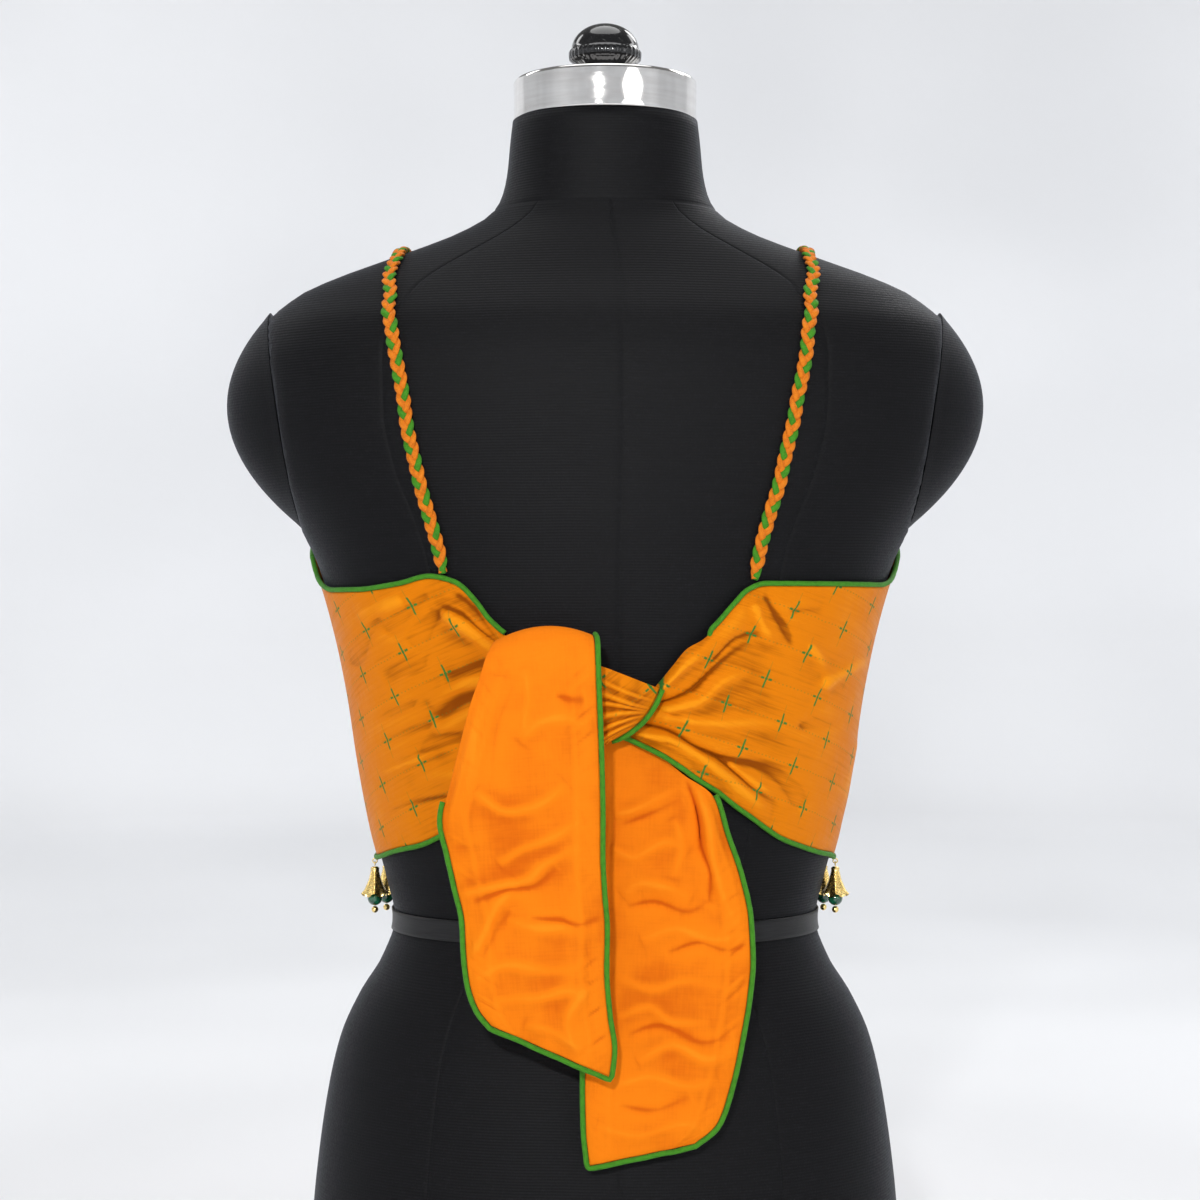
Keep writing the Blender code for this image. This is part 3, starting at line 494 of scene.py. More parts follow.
def front_place(u, v, creased=1.0):
    """Where the front panel's cloth lies, from the right side seam (0) to the left one (1)."""
    u = np.asarray(u, float)
    to_middle = 1 - np.abs(2 * u - 1)
    turn = column(FRONT, "turn", to_middle)
    turn = np.where(u < 0.5, turn, 360 - turn)
    height = column(FRONT, "hem", to_middle) * (1 - v) + column(FRONT, "top", to_middle) * v
    ease = FRONT_EASE * np.clip(to_middle * 4, 0, 1) * np.clip(0.8 + 2 * v * (1 - v), 0, 1)
    bridge = FRONT_BRIDGE * np.exp(-(((turn - 180) / 14) ** 2))
    from_middle = round_the_form(180) - round_the_form(np.minimum(turn, 360 - turn))
    inside = np.clip(v * (1 - v) * 9, 0, 1) * np.clip(to_middle * 5, 0, 1)
    across = from_middle * np.where(u < 0.5, 1, -1)
    creases = crease_lift(CREASES_FRONT, across, height, FRONT_CREASE_BREADTH, True)
    lift = CLEAR + ease + bridge + creases * inside * creased
    return off_form(turn, height, np.maximum(lift, LEAST_CLEAR))


def wrap_place(u, v):
    """Where the crossing tie lies: u from its root to its piped edge, v from foot to top."""
    top = np.stack([column(WRAP, "top_" + axis, u) for axis in "xyz"], -1)
    end = np.stack([column(WRAP, "end_" + axis, u) for axis in "xyz"], -1)
    v = np.asarray(v, float)
    middle = 4 * v * (1 - v)
    point = end * (1 - v)[..., None] + top * v[..., None]
    bow = column(WRAP, "bow", u) * middle
    folds = 0 * v
    for at, width, depth in zip(*WRAP_FOLDS.values()):
        fan = 1.6 - 1.15 * u
        bent = 0.78 + (at - 0.78) * fan + 0.03 * np.sin(5 * u + 9 * at)
        folds = folds + 1.6 * depth * np.exp(-(np.abs((v - bent) / (width * fan)) ** 1.4))
    folds = folds * np.clip((1 - u) * 5, 0, 1)
    folds = folds * np.clip(u * 5, 0, 1) * np.clip(middle * 4, 0, 1)
    swell = column(WRAP, "swell", u) * middle + folds
    return point + np.stack([bow, -swell, -bow], -1)


def tail_place(rows, wave_sign, wrinkles, seed, hang_from):
    """Where a tail lies: u across it from left to right, v down its length."""

    def place(u, v):
        u = np.asarray(u, float)
        left = np.stack([column(rows, "left_" + axis, v) for axis in "xyz"], -1)
        right = np.stack([column(rows, "right_" + axis, v) for axis in "xyz"], -1)
        point = left * (1 - u)[..., None] + right * u[..., None]
        crown = column(rows, "crown", v) * 4 * u * (1 - u)
        wave = 0 * u
        for centre, width, depth in zip(*TAIL_WAVES.values()):
            wave = wave + depth * np.exp(-(((u - centre - 0.08 * np.sin(5 * v)) / width) ** 2))
        wave = wave * np.clip(3 * v - 0.4, 0, 1) * wave_sign
        wide = np.linalg.norm(right - left, axis=-1)
        from_edge = np.minimum(u, 1 - u) * wide
        hangs = np.clip(v * hang_from - 0.9, 0, 1)
        inside = np.clip(from_edge / 5, 0, 1) * np.clip((1 - v) * 20, 0, 1) * hangs
        creases = crease_lift(wrinkles, point[..., 0], point[..., 2], TAIL_CREASE_BREADTH, True)
        wave = wave + TAIL_CREASES * creases * inside
        slanted = point[..., 2] + 0.7 * from_edge + 4 * np.sin(point[..., 2] / 19 + seed)
        hem_puckers = pucker(slanted * 0.8, seed + 2 * np.round(u))
        now_and_then = 0.3 * (0.5 + np.sin(point[..., 2] / 31 + 2 * seed))
        wave = wave + now_and_then * hem_puckers * np.exp(-(((from_edge - 7) / 6) ** 2)) * inside
        from_seam = (from_edge - TAIL_SEAM_FROM_EDGE) / TAIL_SEAM_HALF_WIDTH
        wave = wave + TAIL_SEAM_HEIGHT * np.exp(-(from_seam**2)) * inside
        return point + np.stack([0 * u, -wave, crown], -1)

    return place


PLACES = {
    "back_left": back_place(-1, BACK_LEFT, CREASES_LEFT),
    "back_right": back_place(1, BACK_RIGHT, CREASES_RIGHT),
    "front": front_place,
    "knot_wrap": wrap_place,
    "tail_front": tail_place(TAIL_FRONT, 1, WRINKLES_FRONT, 0.4, 5),
    "tail_rear": tail_place(TAIL_REAR, 0.6, WRINKLES_REAR, 2.9, 9),
}


def colour_property(name, description, *default):
    return bpy.props.FloatVectorProperty(
        name=name, description=description, subtype="COLOR", size=3, default=default, min=0, max=1
    )


def length_property(name, description, default, least, most):
    return bpy.props.FloatProperty(
        name=name, description=description, default=default, min=least, max=most, unit="LENGTH"
    )


class ClothSettings(bpy.types.PropertyGroup):
    """The cloth's colours and sizes."""

    silk: colour_property("Silk", "Colour of the silk's ground", 0.73, 0.2, 0.003)
    # Painted shade: the darker colour the silk is painted in its folds, by how deep each fold is
    silk_painted_shade: colour_property(
        "Silk in folds", "Colour that the shot silk turns in its folds", 0.27, 0.058, 0.001
    )
    motif: colour_property("Motif", "Colour of the woven crosses", 0.036, 0.18, 0.03)
    lining: colour_property("Lining", "Colour of the cotton lining", 0.86, 0.205, 0.004)
    piping: colour_property(
        "Piping", "Colour of the piping and of one strand of the plaits", 0.055, 0.25, 0.012
    )
    pitch: length_property(
        "Motif pitch", "Distance between crosses along the weft", 0.038, 0.01, 0.2
    )
    row: length_property("Motif rows", "Distance between rows of crosses", 0.0199, 0.005, 0.2)
    wall: length_property(
        "Cloth thickness", "Thickness of the silk with its lining", 0.0014, 0.0005, 0.003
    )
    cord: length_property("Piping radius", "Radius of the piping", 0.00145, 0.0005, 0.004)


class FormSettings(bpy.types.PropertyGroup):
    """The dress form's finishes."""

    jersey: colour_property("Jersey", "Colour of the knitted cover", 0.002, 0.002, 0.0026)
    rib: length_property("Rib", "Height of one rib of the knit", 0.0016, 0.0005, 0.01)
    gold: colour_property("Gold", "Colour of the bells", 1.0, 0.76, 0.3)
    bead: colour_property("Bead", "Colour of the glass beads", 0.004, 0.06, 0.03)


class StageSettings(bpy.types.PropertyGroup):
    """The camera and the lights."""

    distance: length_property(
        "Camera distance", "From the camera to the middle of the form", 1.45, 0.5, 5
    )
    height: length_property("Camera height", "Height of the camera above the base", 0.454, 0, 2)
    view_width: length_property(
        "View width", "Width of the view at the middle of the form", 0.708, 0.1, 3
    )
    brightness: bpy.props.FloatProperty(
        name="Brightness", description="Strength of every light", default=0.9, min=0, max=10
    )


def scaled(colour, *by):
    """A colour with each of its parts made stronger or weaker."""
    return tuple(part * strength for part, strength in zip(colour, by))


class Recipe:
    """A material's nodes, with short ways to add and join them."""

    def __init__(self, name, **sockets):
        self.material = bpy.data.materials.new(name)
        self.material.use_nodes = True
        self.tree = self.material.node_tree
        self.sockets = self.tree.nodes["Principled BSDF"].inputs
        for socket, value in sockets.items():
            self.feed(self.sockets[socket.replace("_", " ")], value)

    def feed(self, socket, value):
        """Joins a socket to another, or gives it a value of its own."""
        if isinstance(value, bpy.types.NodeSocket):
            self.tree.links.new(value, socket)
        else:
            socket.default_value = value

    def add(self, kind, settings=None, inputs=None):
        made = self.tree.nodes.new(kind)
        for key, value in (settings or {}).items():
            setattr(made, key, value)
        for key, value in (inputs or {}).items():
            self.feed(made.inputs[key], value)
        return made

    def math(self, operation, *values):
        settings = {"operation": operation}
        return self.add("ShaderNodeMath", settings, dict(enumerate(values))).outputs[0]

    def times(self, first, second):
        return self.math("MULTIPLY", first, second)

    def plus(self, first, second):
        return self.math("ADD", first, second)

    def less(self, first, second):
        return self.math("SUBTRACT", first, second)

    def times_plus(self, first, second, third):
        return self.math("MULTIPLY_ADD", first, second, third)

    def parts(self, vector):
        return self.add("ShaderNodeSeparateXYZ", inputs={0: vector}).outputs

    def cloth_place(self):
        """The place on the cloth from its UV map, and its parts along and across the weave."""
        place = self.add("ShaderNodeUVMap", {"uv_map": "weave"}).outputs[0]
        return place, *self.parts(place)[:2]

    def object_place(self):
        return self.add("ShaderNodeTexCoord").outputs["Object"]

    def fold(self):
        """How deep in a fold the cloth is, which the finishes paint as shade, and below nought as a
        highlight.
        """
        return self.add("ShaderNodeAttribute", {"attribute_name": "fold"}).outputs["Fac"]

    def wave(self, value, length):
        return self.math("SINE", self.times(value, math.tau / length))

    def weave(self, across, up, pitch):
        return self.times(self.wave(across, pitch), self.wave(up, pitch))

    def noise(self, vector, scale, detail=2.0, roughness=0.5):
        """Noise of one scale, or of three scales where it is drawn out in a direction."""
        if isinstance(scale, tuple):
            sockets = {"Vector": vector, "Scale": scale}
            vector, scale = self.add("ShaderNodeMapping", inputs=sockets).outputs[0], 1.0
        sockets = {"Vector": vector, "Scale": scale, "Detail": detail, "Roughness": roughness}
        return self.add("ShaderNodeTexNoise", inputs=sockets).outputs["Fac"]

    def ramp(self, value, low, high, to_low=0.0, to_high=1.0):
        """A soft step: to_low below the value low, to_high above the value high."""
        ends = {"From Min": low, "From Max": high, "To Min": to_low, "To Max": to_high}
        settings = {"interpolation_type": "SMOOTHSTEP"}
        return self.add("ShaderNodeMapRange", settings, {"Value": value, **ends}).outputs[0]

    def within(self, value, half, soft):
        """1 where the value is nearer nought than half, 0 where it is further."""
        return self.ramp(self.math("ABSOLUTE", value), half - soft, half + soft, 1.0, 0.0)

    def mix(self, factor, first, second):
        """A colour between two colours."""
        made = self.add("ShaderNodeMix", {"data_type": "RGBA"}, {0: factor})
        for socket, colour in ((6, first), (7, second)):
            is_joined = isinstance(colour, bpy.types.NodeSocket)
            self.feed(made.inputs[socket], colour if is_joined else (*colour, 1))
        return made.outputs[2]

    def bump(self, height, strength, distance):
        sockets = {"Height": height, "Strength": strength, "Distance": distance}
        self.feed(self.sockets["Normal"], self.add("ShaderNodeBump", inputs=sockets).outputs[0])

    def colour(self, value):
        self.feed(self.sockets["Base Color"], value)

    def rough(self, value):
        self.feed(self.sockets["Roughness"], value)


def from_nearest(recipe, value, spacing):
    """How far a value is from the nearest multiple of the spacing, and which multiple that is."""
    number = recipe.math("ROUND", recipe.math("DIVIDE", value, spacing))
    return recipe.less(value, recipe.times(number, spacing)), number


def woven_crosses(recipe, place, across, up, settings):
    """Where the silk's green thread shows: its crosses alone, and with the lines that join them."""
    wander = recipe.times_plus(recipe.noise(place, 130, 1), 0.0012, -0.0006)
    from_row, row = from_nearest(recipe, recipe.plus(up, wander), settings.row)
    odd = recipe.math("FLOORED_MODULO", row, 2.0)
    shifted = recipe.times_plus(odd, settings.pitch / 2, recipe.plus(across, wander))
    from_cross, _ = from_nearest(recipe, shifted, settings.pitch)

    upright = recipe.times(
        recipe.within(from_cross, MOTIF_HALF_THREAD, 0.0003),
        recipe.within(from_row, MOTIF_HALF_HEIGHT, 0.0006),
    )
    arms = recipe.times(
        recipe.within(from_row, MOTIF_HALF_THREAD, 0.0003),
        recipe.within(from_cross, MOTIF_HALF_WIDTH, 0.0004),
    )
    from_gap = recipe.less(recipe.math("ABSOLUTE", from_cross), MOTIF_GAP)
    arms = recipe.times(arms, recipe.less(1.0, recipe.within(from_gap, 0.0003, 0.0002)))
    cross = recipe.math("MAXIMUM", upright, arms)
    dashes = recipe.ramp(recipe.wave(across, WEFT_DASH), 0.1, 0.5, 0.0, 0.3)
    weft = recipe.times(recipe.within(from_row, 0.0004, 0.0002), dashes)
    warp = recipe.times(recipe.within(from_cross, 0.0003, 0.0002), 0.22)
    return cross, recipe.math("MAXIMUM", cross, recipe.math("MAXIMUM", weft, warp))


def silk_finish(name):
    """Slubbed shot silk, rows of small woven crosses joined by a dashed weft line, painted shade in
    folds and a painted highlight on ridges.
    """
    settings = bpy.context.scene.blouse_cloth
    recipe = Recipe(
        name, Roughness=0.45, Sheen_Weight=0.06, Sheen_Roughness=0.4, Specular_IOR_Level=0.1,
        Sheen_Tint=(1.0, 0.6, 0.2, 1), Specular_Tint=(1.0, 0.66, 0.25, 1),
    )
    place, across, up = recipe.cloth_place()
    cross, thread = woven_crosses(recipe, place, across, up, settings)
    slub = recipe.noise(place, (22, 620, 1), 4, 0.62)
    long_slub = recipe.noise(place, (14, 300, 1), 3, 0.6)
    # shade: the fold attribute, which is painted shade in folds and, below nought, a painted
    # highlight on ridges, plus random slub and patch tone
    shade = recipe.plus(recipe.fold(), recipe.ramp(slub, 0.35, 0.75, 0.0, 0.3))
    shade = recipe.plus(shade, recipe.ramp(long_slub, 0.4, 0.75, -0.02, 0.17))
    shade = recipe.plus(shade, recipe.ramp(recipe.noise(place, 26), 0.3, 0.75, -0.04, 0.3))
    # Painted shade: the ground turns towards the silk's painted shade colour where shade is high
    ground = recipe.mix(recipe.ramp(shade, 0.0, 1.0), settings.silk, settings.silk_painted_shade)
    # Painted highlight: a lighter orange where shade falls below nought, mostly on the ridges
    ground = recipe.mix(recipe.ramp(shade, 0.0, -0.9, 0.0, 0.6), ground, (0.95, 0.34, 0.01))
    recipe.colour(recipe.mix(thread, ground, settings.motif))
    recipe.rough(recipe.ramp(slub, 0.3, 0.8, 0.38, 0.55))

    height = recipe.times_plus(recipe.weave(across, up, SILK_WEAVE), 0.12, slub)
    crumple = recipe.noise(place, 42, 3, 0.55)
    for relief, depth in ((long_slub, 0.8), (cross, 0.35), (crumple, 4.5)):
        height = recipe.times_plus(relief, depth, height)
    recipe.bump(height, 0.5, 0.0006)
    return recipe.material


def lining_finish(name):
    """Plain cotton lining: a fine weave, a little uneven in colour, with painted shade in its folds
    and a painted highlight on its ridges.
    """
    recipe = Recipe(
        name, Roughness=0.78, Sheen_Weight=0.06, Sheen_Roughness=0.5, Specular_IOR_Level=0.08,
        Sheen_Tint=(1.0, 0.5, 0.15, 1),
    )
    place, across, up = recipe.cloth_place()
    patch = recipe.noise(place, 18, 3, 0.6)
    # shade: the fold attribute's painted shade, 0.9 strong, plus random patches of tone
    shade = recipe.times_plus(recipe.fold(), 0.9, recipe.ramp(patch, 0.3, 0.75, -0.1, 0.5))
    threads = [recipe.noise(place, drawn_out) for drawn_out in ((900, 60, 1), (60, 900, 1))]
    for thread in threads:
        shade = recipe.plus(shade, recipe.ramp(thread, 0.3, 0.8, 0.0, 0.1))
    lit = bpy.context.scene.blouse_cloth.lining
    # Painted shade: a darker copy of the lit lining colour where shade is high
    ground = recipe.mix(recipe.ramp(shade, 0.0, 1.0), lit, scaled(lit, 0.72, 0.5, 0.4))
    # Painted highlight: a lighter orange on the ridges, and also where the random patches are
    # lightest
    recipe.colour(recipe.mix(recipe.ramp(shade, 0.1, -0.8, 0.0, 0.5), ground, (0.95, 0.28, 0.01)))
    height = recipe.times_plus(recipe.weave(across, up, COTTON_WEAVE), 0.2, recipe.plus(*threads))
    height = recipe.times_plus(recipe.noise(place, 48, 3, 0.55), 9.0, height)
    recipe.bump(height, 0.35, 0.0005)
    return recipe.material


def cord_finish(name, colour, deep):
    """Bias-cut cloth round a cord: a slanting weave with painted shade, darker in random patches
    and along the slant.
    """
    recipe = Recipe(
        name, Roughness=0.6, Sheen_Weight=0.05, Sheen_Roughness=0.5, Specular_IOR_Level=0.15
    )
    place, along, around = recipe.cloth_place()
    slant = recipe.wave(recipe.plus(along, around), CORD_WEAVE)
    patch = recipe.noise(place, 320, 3)
    # shade: painted shade, from the weave's slant and from random patches
    shade = recipe.times_plus(slant, 0.1, recipe.ramp(patch, 0.3, 0.75, 0.0, 0.55))
    # Painted shade: towards the darker copy given as deep
    recipe.colour(recipe.mix(recipe.ramp(shade, 0.0, 1.0), colour, deep))
    recipe.bump(recipe.times_plus(patch, 1.5, slant), 0.3, 0.0003)
    return recipe.material


def jersey_finish(name):
    """Black knit with fine ribs that run round the form, with a painted highlight on its rising
    stitches and rib crests and painted glints in sparse pale flecks.
    """
    settings = bpy.context.scene.blouse_form
    recipe = Recipe(
        name, Roughness=0.6, Sheen_Weight=0.08, Sheen_Roughness=0.4, Specular_IOR_Level=0.14,
        Sheen_Tint=(0.55, 0.6, 0.74, 1),
    )
    place = recipe.object_place()
    up = recipe.times_plus(recipe.noise(place, 9), 0.004, recipe.parts(place)[2])
    rib = recipe.wave(up, settings.rib)
    stitch = recipe.noise(place, (1100, 1100, 500), 2, 0.6)
    # light: painted highlight, lighter where the ribs and stitches rise
    light = recipe.times_plus(rib, 0.1, recipe.ramp(stitch, 0.35, 0.8, 0.0, 0.6))
    # Sparse pale flecks: painted glints
    fleck = recipe.noise(place, 1500, 2, 0.7)
    light = recipe.plus(light, recipe.ramp(fleck, 0.58, 0.8, 0.0, 0.35))
    # pale: the colour of the painted highlight and glints
    pale = tuple(3.2 * part + 0.006 for part in settings.jersey)
    recipe.colour(recipe.mix(recipe.ramp(light, 0.0, 1.0), settings.jersey, pale))
    recipe.bump(recipe.times_plus(rib, 0.35, stitch), 0.3, 0.0004)
    recipe.rough(recipe.ramp(stitch, 0.3, 0.8, 0.52, 0.75))
    return recipe.material


def plain_finish(name, noise, colours, rough=None, bump=None, **sockets):
    """A finish with one noise (scale, detail, roughness) and what follows it.

    The colours are (low, high, first colour, second colour) and rough is the ends of a ramp.
    """
    recipe = Recipe(name, **sockets)
    worn = recipe.noise(recipe.object_place(), *noise)
    low, high, first, second = colours
    recipe.colour(recipe.mix(recipe.ramp(worn, low, high), first, second))
    if rough:
        recipe.rough(recipe.ramp(worn, *rough))
    if bump:
        recipe.bump(worn, *bump)
    return recipe.material


def tape_finish(name):
    """Black satin tape: close ribs across it and a soft shine."""
    colours = (0.3, 0.75, (0.003, 0.003, 0.0035), (0.011, 0.011, 0.012))
    return plain_finish(
        name, ((80, 80, 3200), 3), colours, bump=(0.3, 0.0003), Roughness=0.45, Sheen_Weight=0.03,
        Specular_IOR_Level=0.3,
    )


def chrome_finish(name):
    """Polished chrome with faint wiping marks."""
    colours = (0.3, 0.8, (0.8, 0.79, 0.77), (0.7, 0.68, 0.66))
    return plain_finish(name, ((30, 30, 400), 3), colours, (0.3, 0.8, 0.05, 0.13), Metallic=1.0)


def gloss_finish(name):
    """Glossy black moulding with a few dull specks."""
    colours = (0.6, 0.75, (0.006, 0.006, 0.007), (0.03, 0.03, 0.03))
    rough = (0.5, 0.8, 0.1, 0.4)
    return plain_finish(name, (420, 3, 0.7), colours, rough, Coat_Weight=0.4, Coat_Roughness=0.08)


def gold_finish(name):
    """Gold-coloured plating, duller and darker in its grooves."""
    gold = bpy.context.scene.blouse_form.gold
    colours = (0.55, 0.85, gold, scaled(gold, 0.85, 0.74, 0.5))
    return plain_finish(name, (700, 3, 0.6), colours, (0.35, 0.75, 0.2, 0.32), Metallic=1.0)


def bead_finish(name):
    """Dark green glass, clear and glossy, with a cloud in it."""
    dark = bpy.context.scene.blouse_form.bead
    colours = (0.4, 0.7, dark, scaled(dark, 3, 2.6, 2.4))
    return plain_finish(
        name, (240,), colours, Roughness=0.05, Coat_Weight=1.0, Coat_Roughness=0.03, IOR=1.52
    )


def paper_finish(name):
    """The pale backdrop's paper."""
    colours = (0.3, 0.7, (0.84, 0.85, 0.87), (0.78, 0.79, 0.81))
    return plain_finish(name, (1.6, 1), colours, Roughness=0.9)


def piping_finish(name):
    colour = bpy.context.scene.blouse_cloth.piping
    # The darker copy is the piping's painted shade
    return cord_finish(name, colour, scaled(colour, 0.45, 0.5, 0.5))


def strand_finish(name):
    # The second colour is the strands' painted shade
    return cord_finish(name, (0.72, 0.2, 0.008), (0.4, 0.075, 0.003))


FINISHES = {
    "slubbed_silk": silk_finish,
    "cotton_lining": lining_finish,
    "piping_cloth": piping_finish,
    "strand_silk": strand_finish,
    "black_jersey": jersey_finish,
    "satin_tape": tape_finish,
    "polished_chrome": chrome_finish,
    "gloss_moulding": gloss_finish,
    "gold_plating": gold_finish,
    "bead_glass": bead_finish,
    "pale_paper": paper_finish,
}


def finish(piece, name):
    """Gives a piece a finish, made the first time that it is asked for."""
    material = bpy.data.materials.get(name) or FINISHES[name](name)
    piece.data.materials.clear()
    piece.data.materials.append(material)


def new_piece(name, look, body, node):
    """Names the piece just made, gives it its finish and puts it in a solid's place on a body."""
    piece = bpy.context.object
    piece.name = piece.data.name = name
    finish(piece, look)
    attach(piece, body)
    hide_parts(node)


def read_points(piece):
    """The places of a piece's vertices, one row each."""
    flat = np.empty(3 * len(piece.data.vertices))
    piece.data.vertices.foreach_get("co", flat)
    return flat.reshape(-1, 3)


def write_points(piece, points):
    piece.data.vertices.foreach_set("co", np.ascontiguousarray(points, float).ravel())
    piece.data.update()


def grid(across, down):
    """A flat grid with its UV map, all of it one unit wide, and where each vertex is on it."""
    bpy.ops.object.select_all(action="DESELECT")
    bpy.ops.mesh.primitive_grid_add(x_subdivisions=across, y_subdivisions=down, size=1)
    piece = bpy.context.object
    flat = read_points(piece)
    return piece, flat[:, 0] + 0.5, flat[:, 1] + 0.5


def weave_map(piece, across, up):
    """Gives a piece the UV map of its weave: metres along and across the cloth at each vertex."""
    layer = piece.data.uv_layers[0]
    layer.name = "weave"
    corners = np.empty(len(piece.data.loops), int)
    piece.data.loops.foreach_get("vertex_index", corners)
    pairs = np.stack([across[corners], up[corners]], -1)
    layer.data.foreach_set("uv", pairs.ravel())


def fold_map(piece, values):
    """Keeps how deep in a fold each vertex is, below nought on a ridge, for the finish to paint as
    shade in folds and as a highlight on ridges.
    """
    attribute = piece.data.attributes.new("fold", "FLOAT", "POINT")
    attribute.data.foreach_set("value", np.clip(values, -1, 1))


def pick(piece):
    """Selects one piece and nothing else."""
    bpy.ops.object.select_all(action="DESELECT")
    piece.select_set(True)
    bpy.context.view_layer.objects.active = piece


def face_out(piece, look):
    """Turns a sheet's faces over where most of them look the wrong way."""
    if sum(look(face) for face in piece.data.polygons) < 0:
        piece.data.flip_normals()


def clean(piece, close=True):
    """Joins doubled vertices and turns every face outwards."""
    pick(piece)
    bpy.ops.object.mode_set(mode="EDIT")
    bpy.ops.mesh.select_all(action="SELECT")
    bpy.ops.mesh.remove_doubles(threshold=MERGE_NEARER)
    if close:
        bpy.ops.mesh.normals_make_consistent(inside=False)
    bpy.ops.object.mode_set(mode="OBJECT")
    bpy.ops.object.shade_smooth()


def thicken(piece, wall):
    """Gives a sheet its wall, outwards from the form."""
    pick(piece)
    modifier = piece.modifiers.new("Cloth thickness", "SOLIDIFY")
    modifier.thickness = wall
    modifier.offset = 1
    modifier.use_even_offset = True
    modifier.thickness_clamp = 1.0
    bpy.ops.object.modifier_apply(modifier=modifier.name)
    bpy.ops.object.shade_smooth()


def hollows(points, across, down, reach):
    """How far each vertex of a grid lies below the cloth round it, in millimetres."""
    shape = points.reshape(down + 1, across + 1, 3)
    padded = np.pad(shape, ((reach, reach), (reach, reach), (0, 0)), mode="edge")
    total = np.zeros_like(shape)
    for dj, di in ((0, 1), (0, -1), (1, 0), (-1, 0), (1, 1), (1, -1), (-1, 1), (-1, -1)):
        rows = slice(reach + dj * reach, reach + dj * reach + down + 1)
        columns = slice(reach + di * reach, reach + di * reach + across + 1)
        total += padded[rows, columns]
    middle = total / 8
    normal = unit(np.cross(np.gradient(shape, axis=1), np.gradient(shape, axis=0)))
    away = np.sign((normal * shape * [1, 1, 0]).sum())
    return ((middle - shape) * normal * away).sum(-1).ravel()


def sheet_piece(name, sheet, across, down, look, slot, weave, depth=0.85):
    """One sheet of cloth laid where its place function says, with shade painted by depth in its
    folds.
    """
    piece, u, v = grid(across, down)
    points = PLACES[sheet](u, v)
    write_points(piece, points * MM)
    weave_map(piece, *weave(points))

    def in_folds(cloth):
        near, wide = (hollows(cloth, across, down, max(2, across // part)) for part in (60, 24))
        return near + 0.45 * wide

    deep = in_folds(points)
    # On the front only the creases get painted shade: the fold depth of the uncreased front, its
    # bust hollows, is taken away
    if sheet == "front":
        deep = deep - in_folds(front_place(u, v, 0.0))
    # depth sets how strongly the painted shade and painted highlight show on this sheet
    fold_map(piece, depth * deep)
    away = Vector((0, 1, 0) if sheet == "front" else points.mean(0) * [1, 1, 0])
    face_out(piece, lambda face: face.normal.dot(away) * face.area)
    new_piece(name, look, "root", sheet)
    thicken(piece, bpy.context.scene.blouse_cloth.wall)


def turn_of(x, y, height):
    """The turn at which a point near the form's skin lies."""
    power = FORM_ROUNDNESS / 2
    half_width, back, front = form_sizes(height)
    across = np.sign(x) * np.abs(x / half_width) ** power
    deep = np.sign(y) * np.abs(y / np.where(y > 0, front, back)) ** power
    return np.degrees(np.arctan2(across, -deep))


def tilted(across, above, tilt):
    """A weave map in metres, turned by tilt."""
    cos, sin = math.cos(math.radians(tilt)), math.sin(math.radians(tilt))
    return (across * cos + above * sin) * MM, (-across * sin + above * cos) * MM


def turned_weave(tilt, anchor):
    """A weave map for cloth on the form, with a cross at the anchor (turn, height)."""

    def weave(points):
        around = round_the_form(turn_of(*points.T)) - round_the_form(anchor[0])
        return tilted(around, points[:, 2] - anchor[1], tilt)

    return weave


def hung_weave(tilt, anchor):
    """A weave map for cloth that hangs flat, with a cross at the anchor (x, z)."""
    return lambda points: tilted(points[:, 0] - anchor[0], points[:, 2] - anchor[1], tilt)


def front_weave(points):
    """The front's weave map, level across the middle of the front."""
    x, y, height = points.T
    turn = turn_of(x, y, height)
    turn = np.where(turn < 0, turn + 360, turn)
    around = round_the_form(np.minimum(turn, 360 - turn)) - round_the_form(180)
    return around * np.where(turn > 180, -1, 1) * MM, height * MM


def unit(vectors):
    return vectors / np.maximum(np.linalg.norm(vectors, axis=-1, keepdims=True), 1e-9)


def spaced(line, normal, at):
    """A line of points and its normals, read anew at distances along it."""
    length = distances(line)
    line, normal = (
        np.stack([np.interp(at, length, part) for part in given.T], -1) for given in (line, normal)
    )
    return line, unit(normal)


def cord_piece(name, line, normal, radii, look, node):
    """A cord along a line of points, its section (out, aside) turned to the normal at each."""
    along = unit(np.gradient(line, axis=0))
    aside = unit(np.cross(along, normal))
    out = np.cross(aside, along)
    stations = len(line)
    piece, u, v = grid(stations + 1, CORD_SIDES)
    station = np.rint(u * (stations + 1)).astype(int)
    at = np.clip(station - 1, 0, stations - 1)
    inner = (station > 0) & (station < stations + 1)
    angle = v * math.tau
    radii = np.broadcast_to(np.asarray(radii, float), (stations, 2))
    reach = radii[at] * inner[:, None]
    points = line[at] + out[at] * (np.cos(angle) * reach[:, 0])[:, None]
    points = points + aside[at] * (np.sin(angle) * reach[:, 1])[:, None]
    write_points(piece, points * MM)
    weave_map(piece, distances(line)[at] * MM, v * math.tau * radii.mean() * MM)
    clean(piece)
    new_piece(name, look, "root", node)


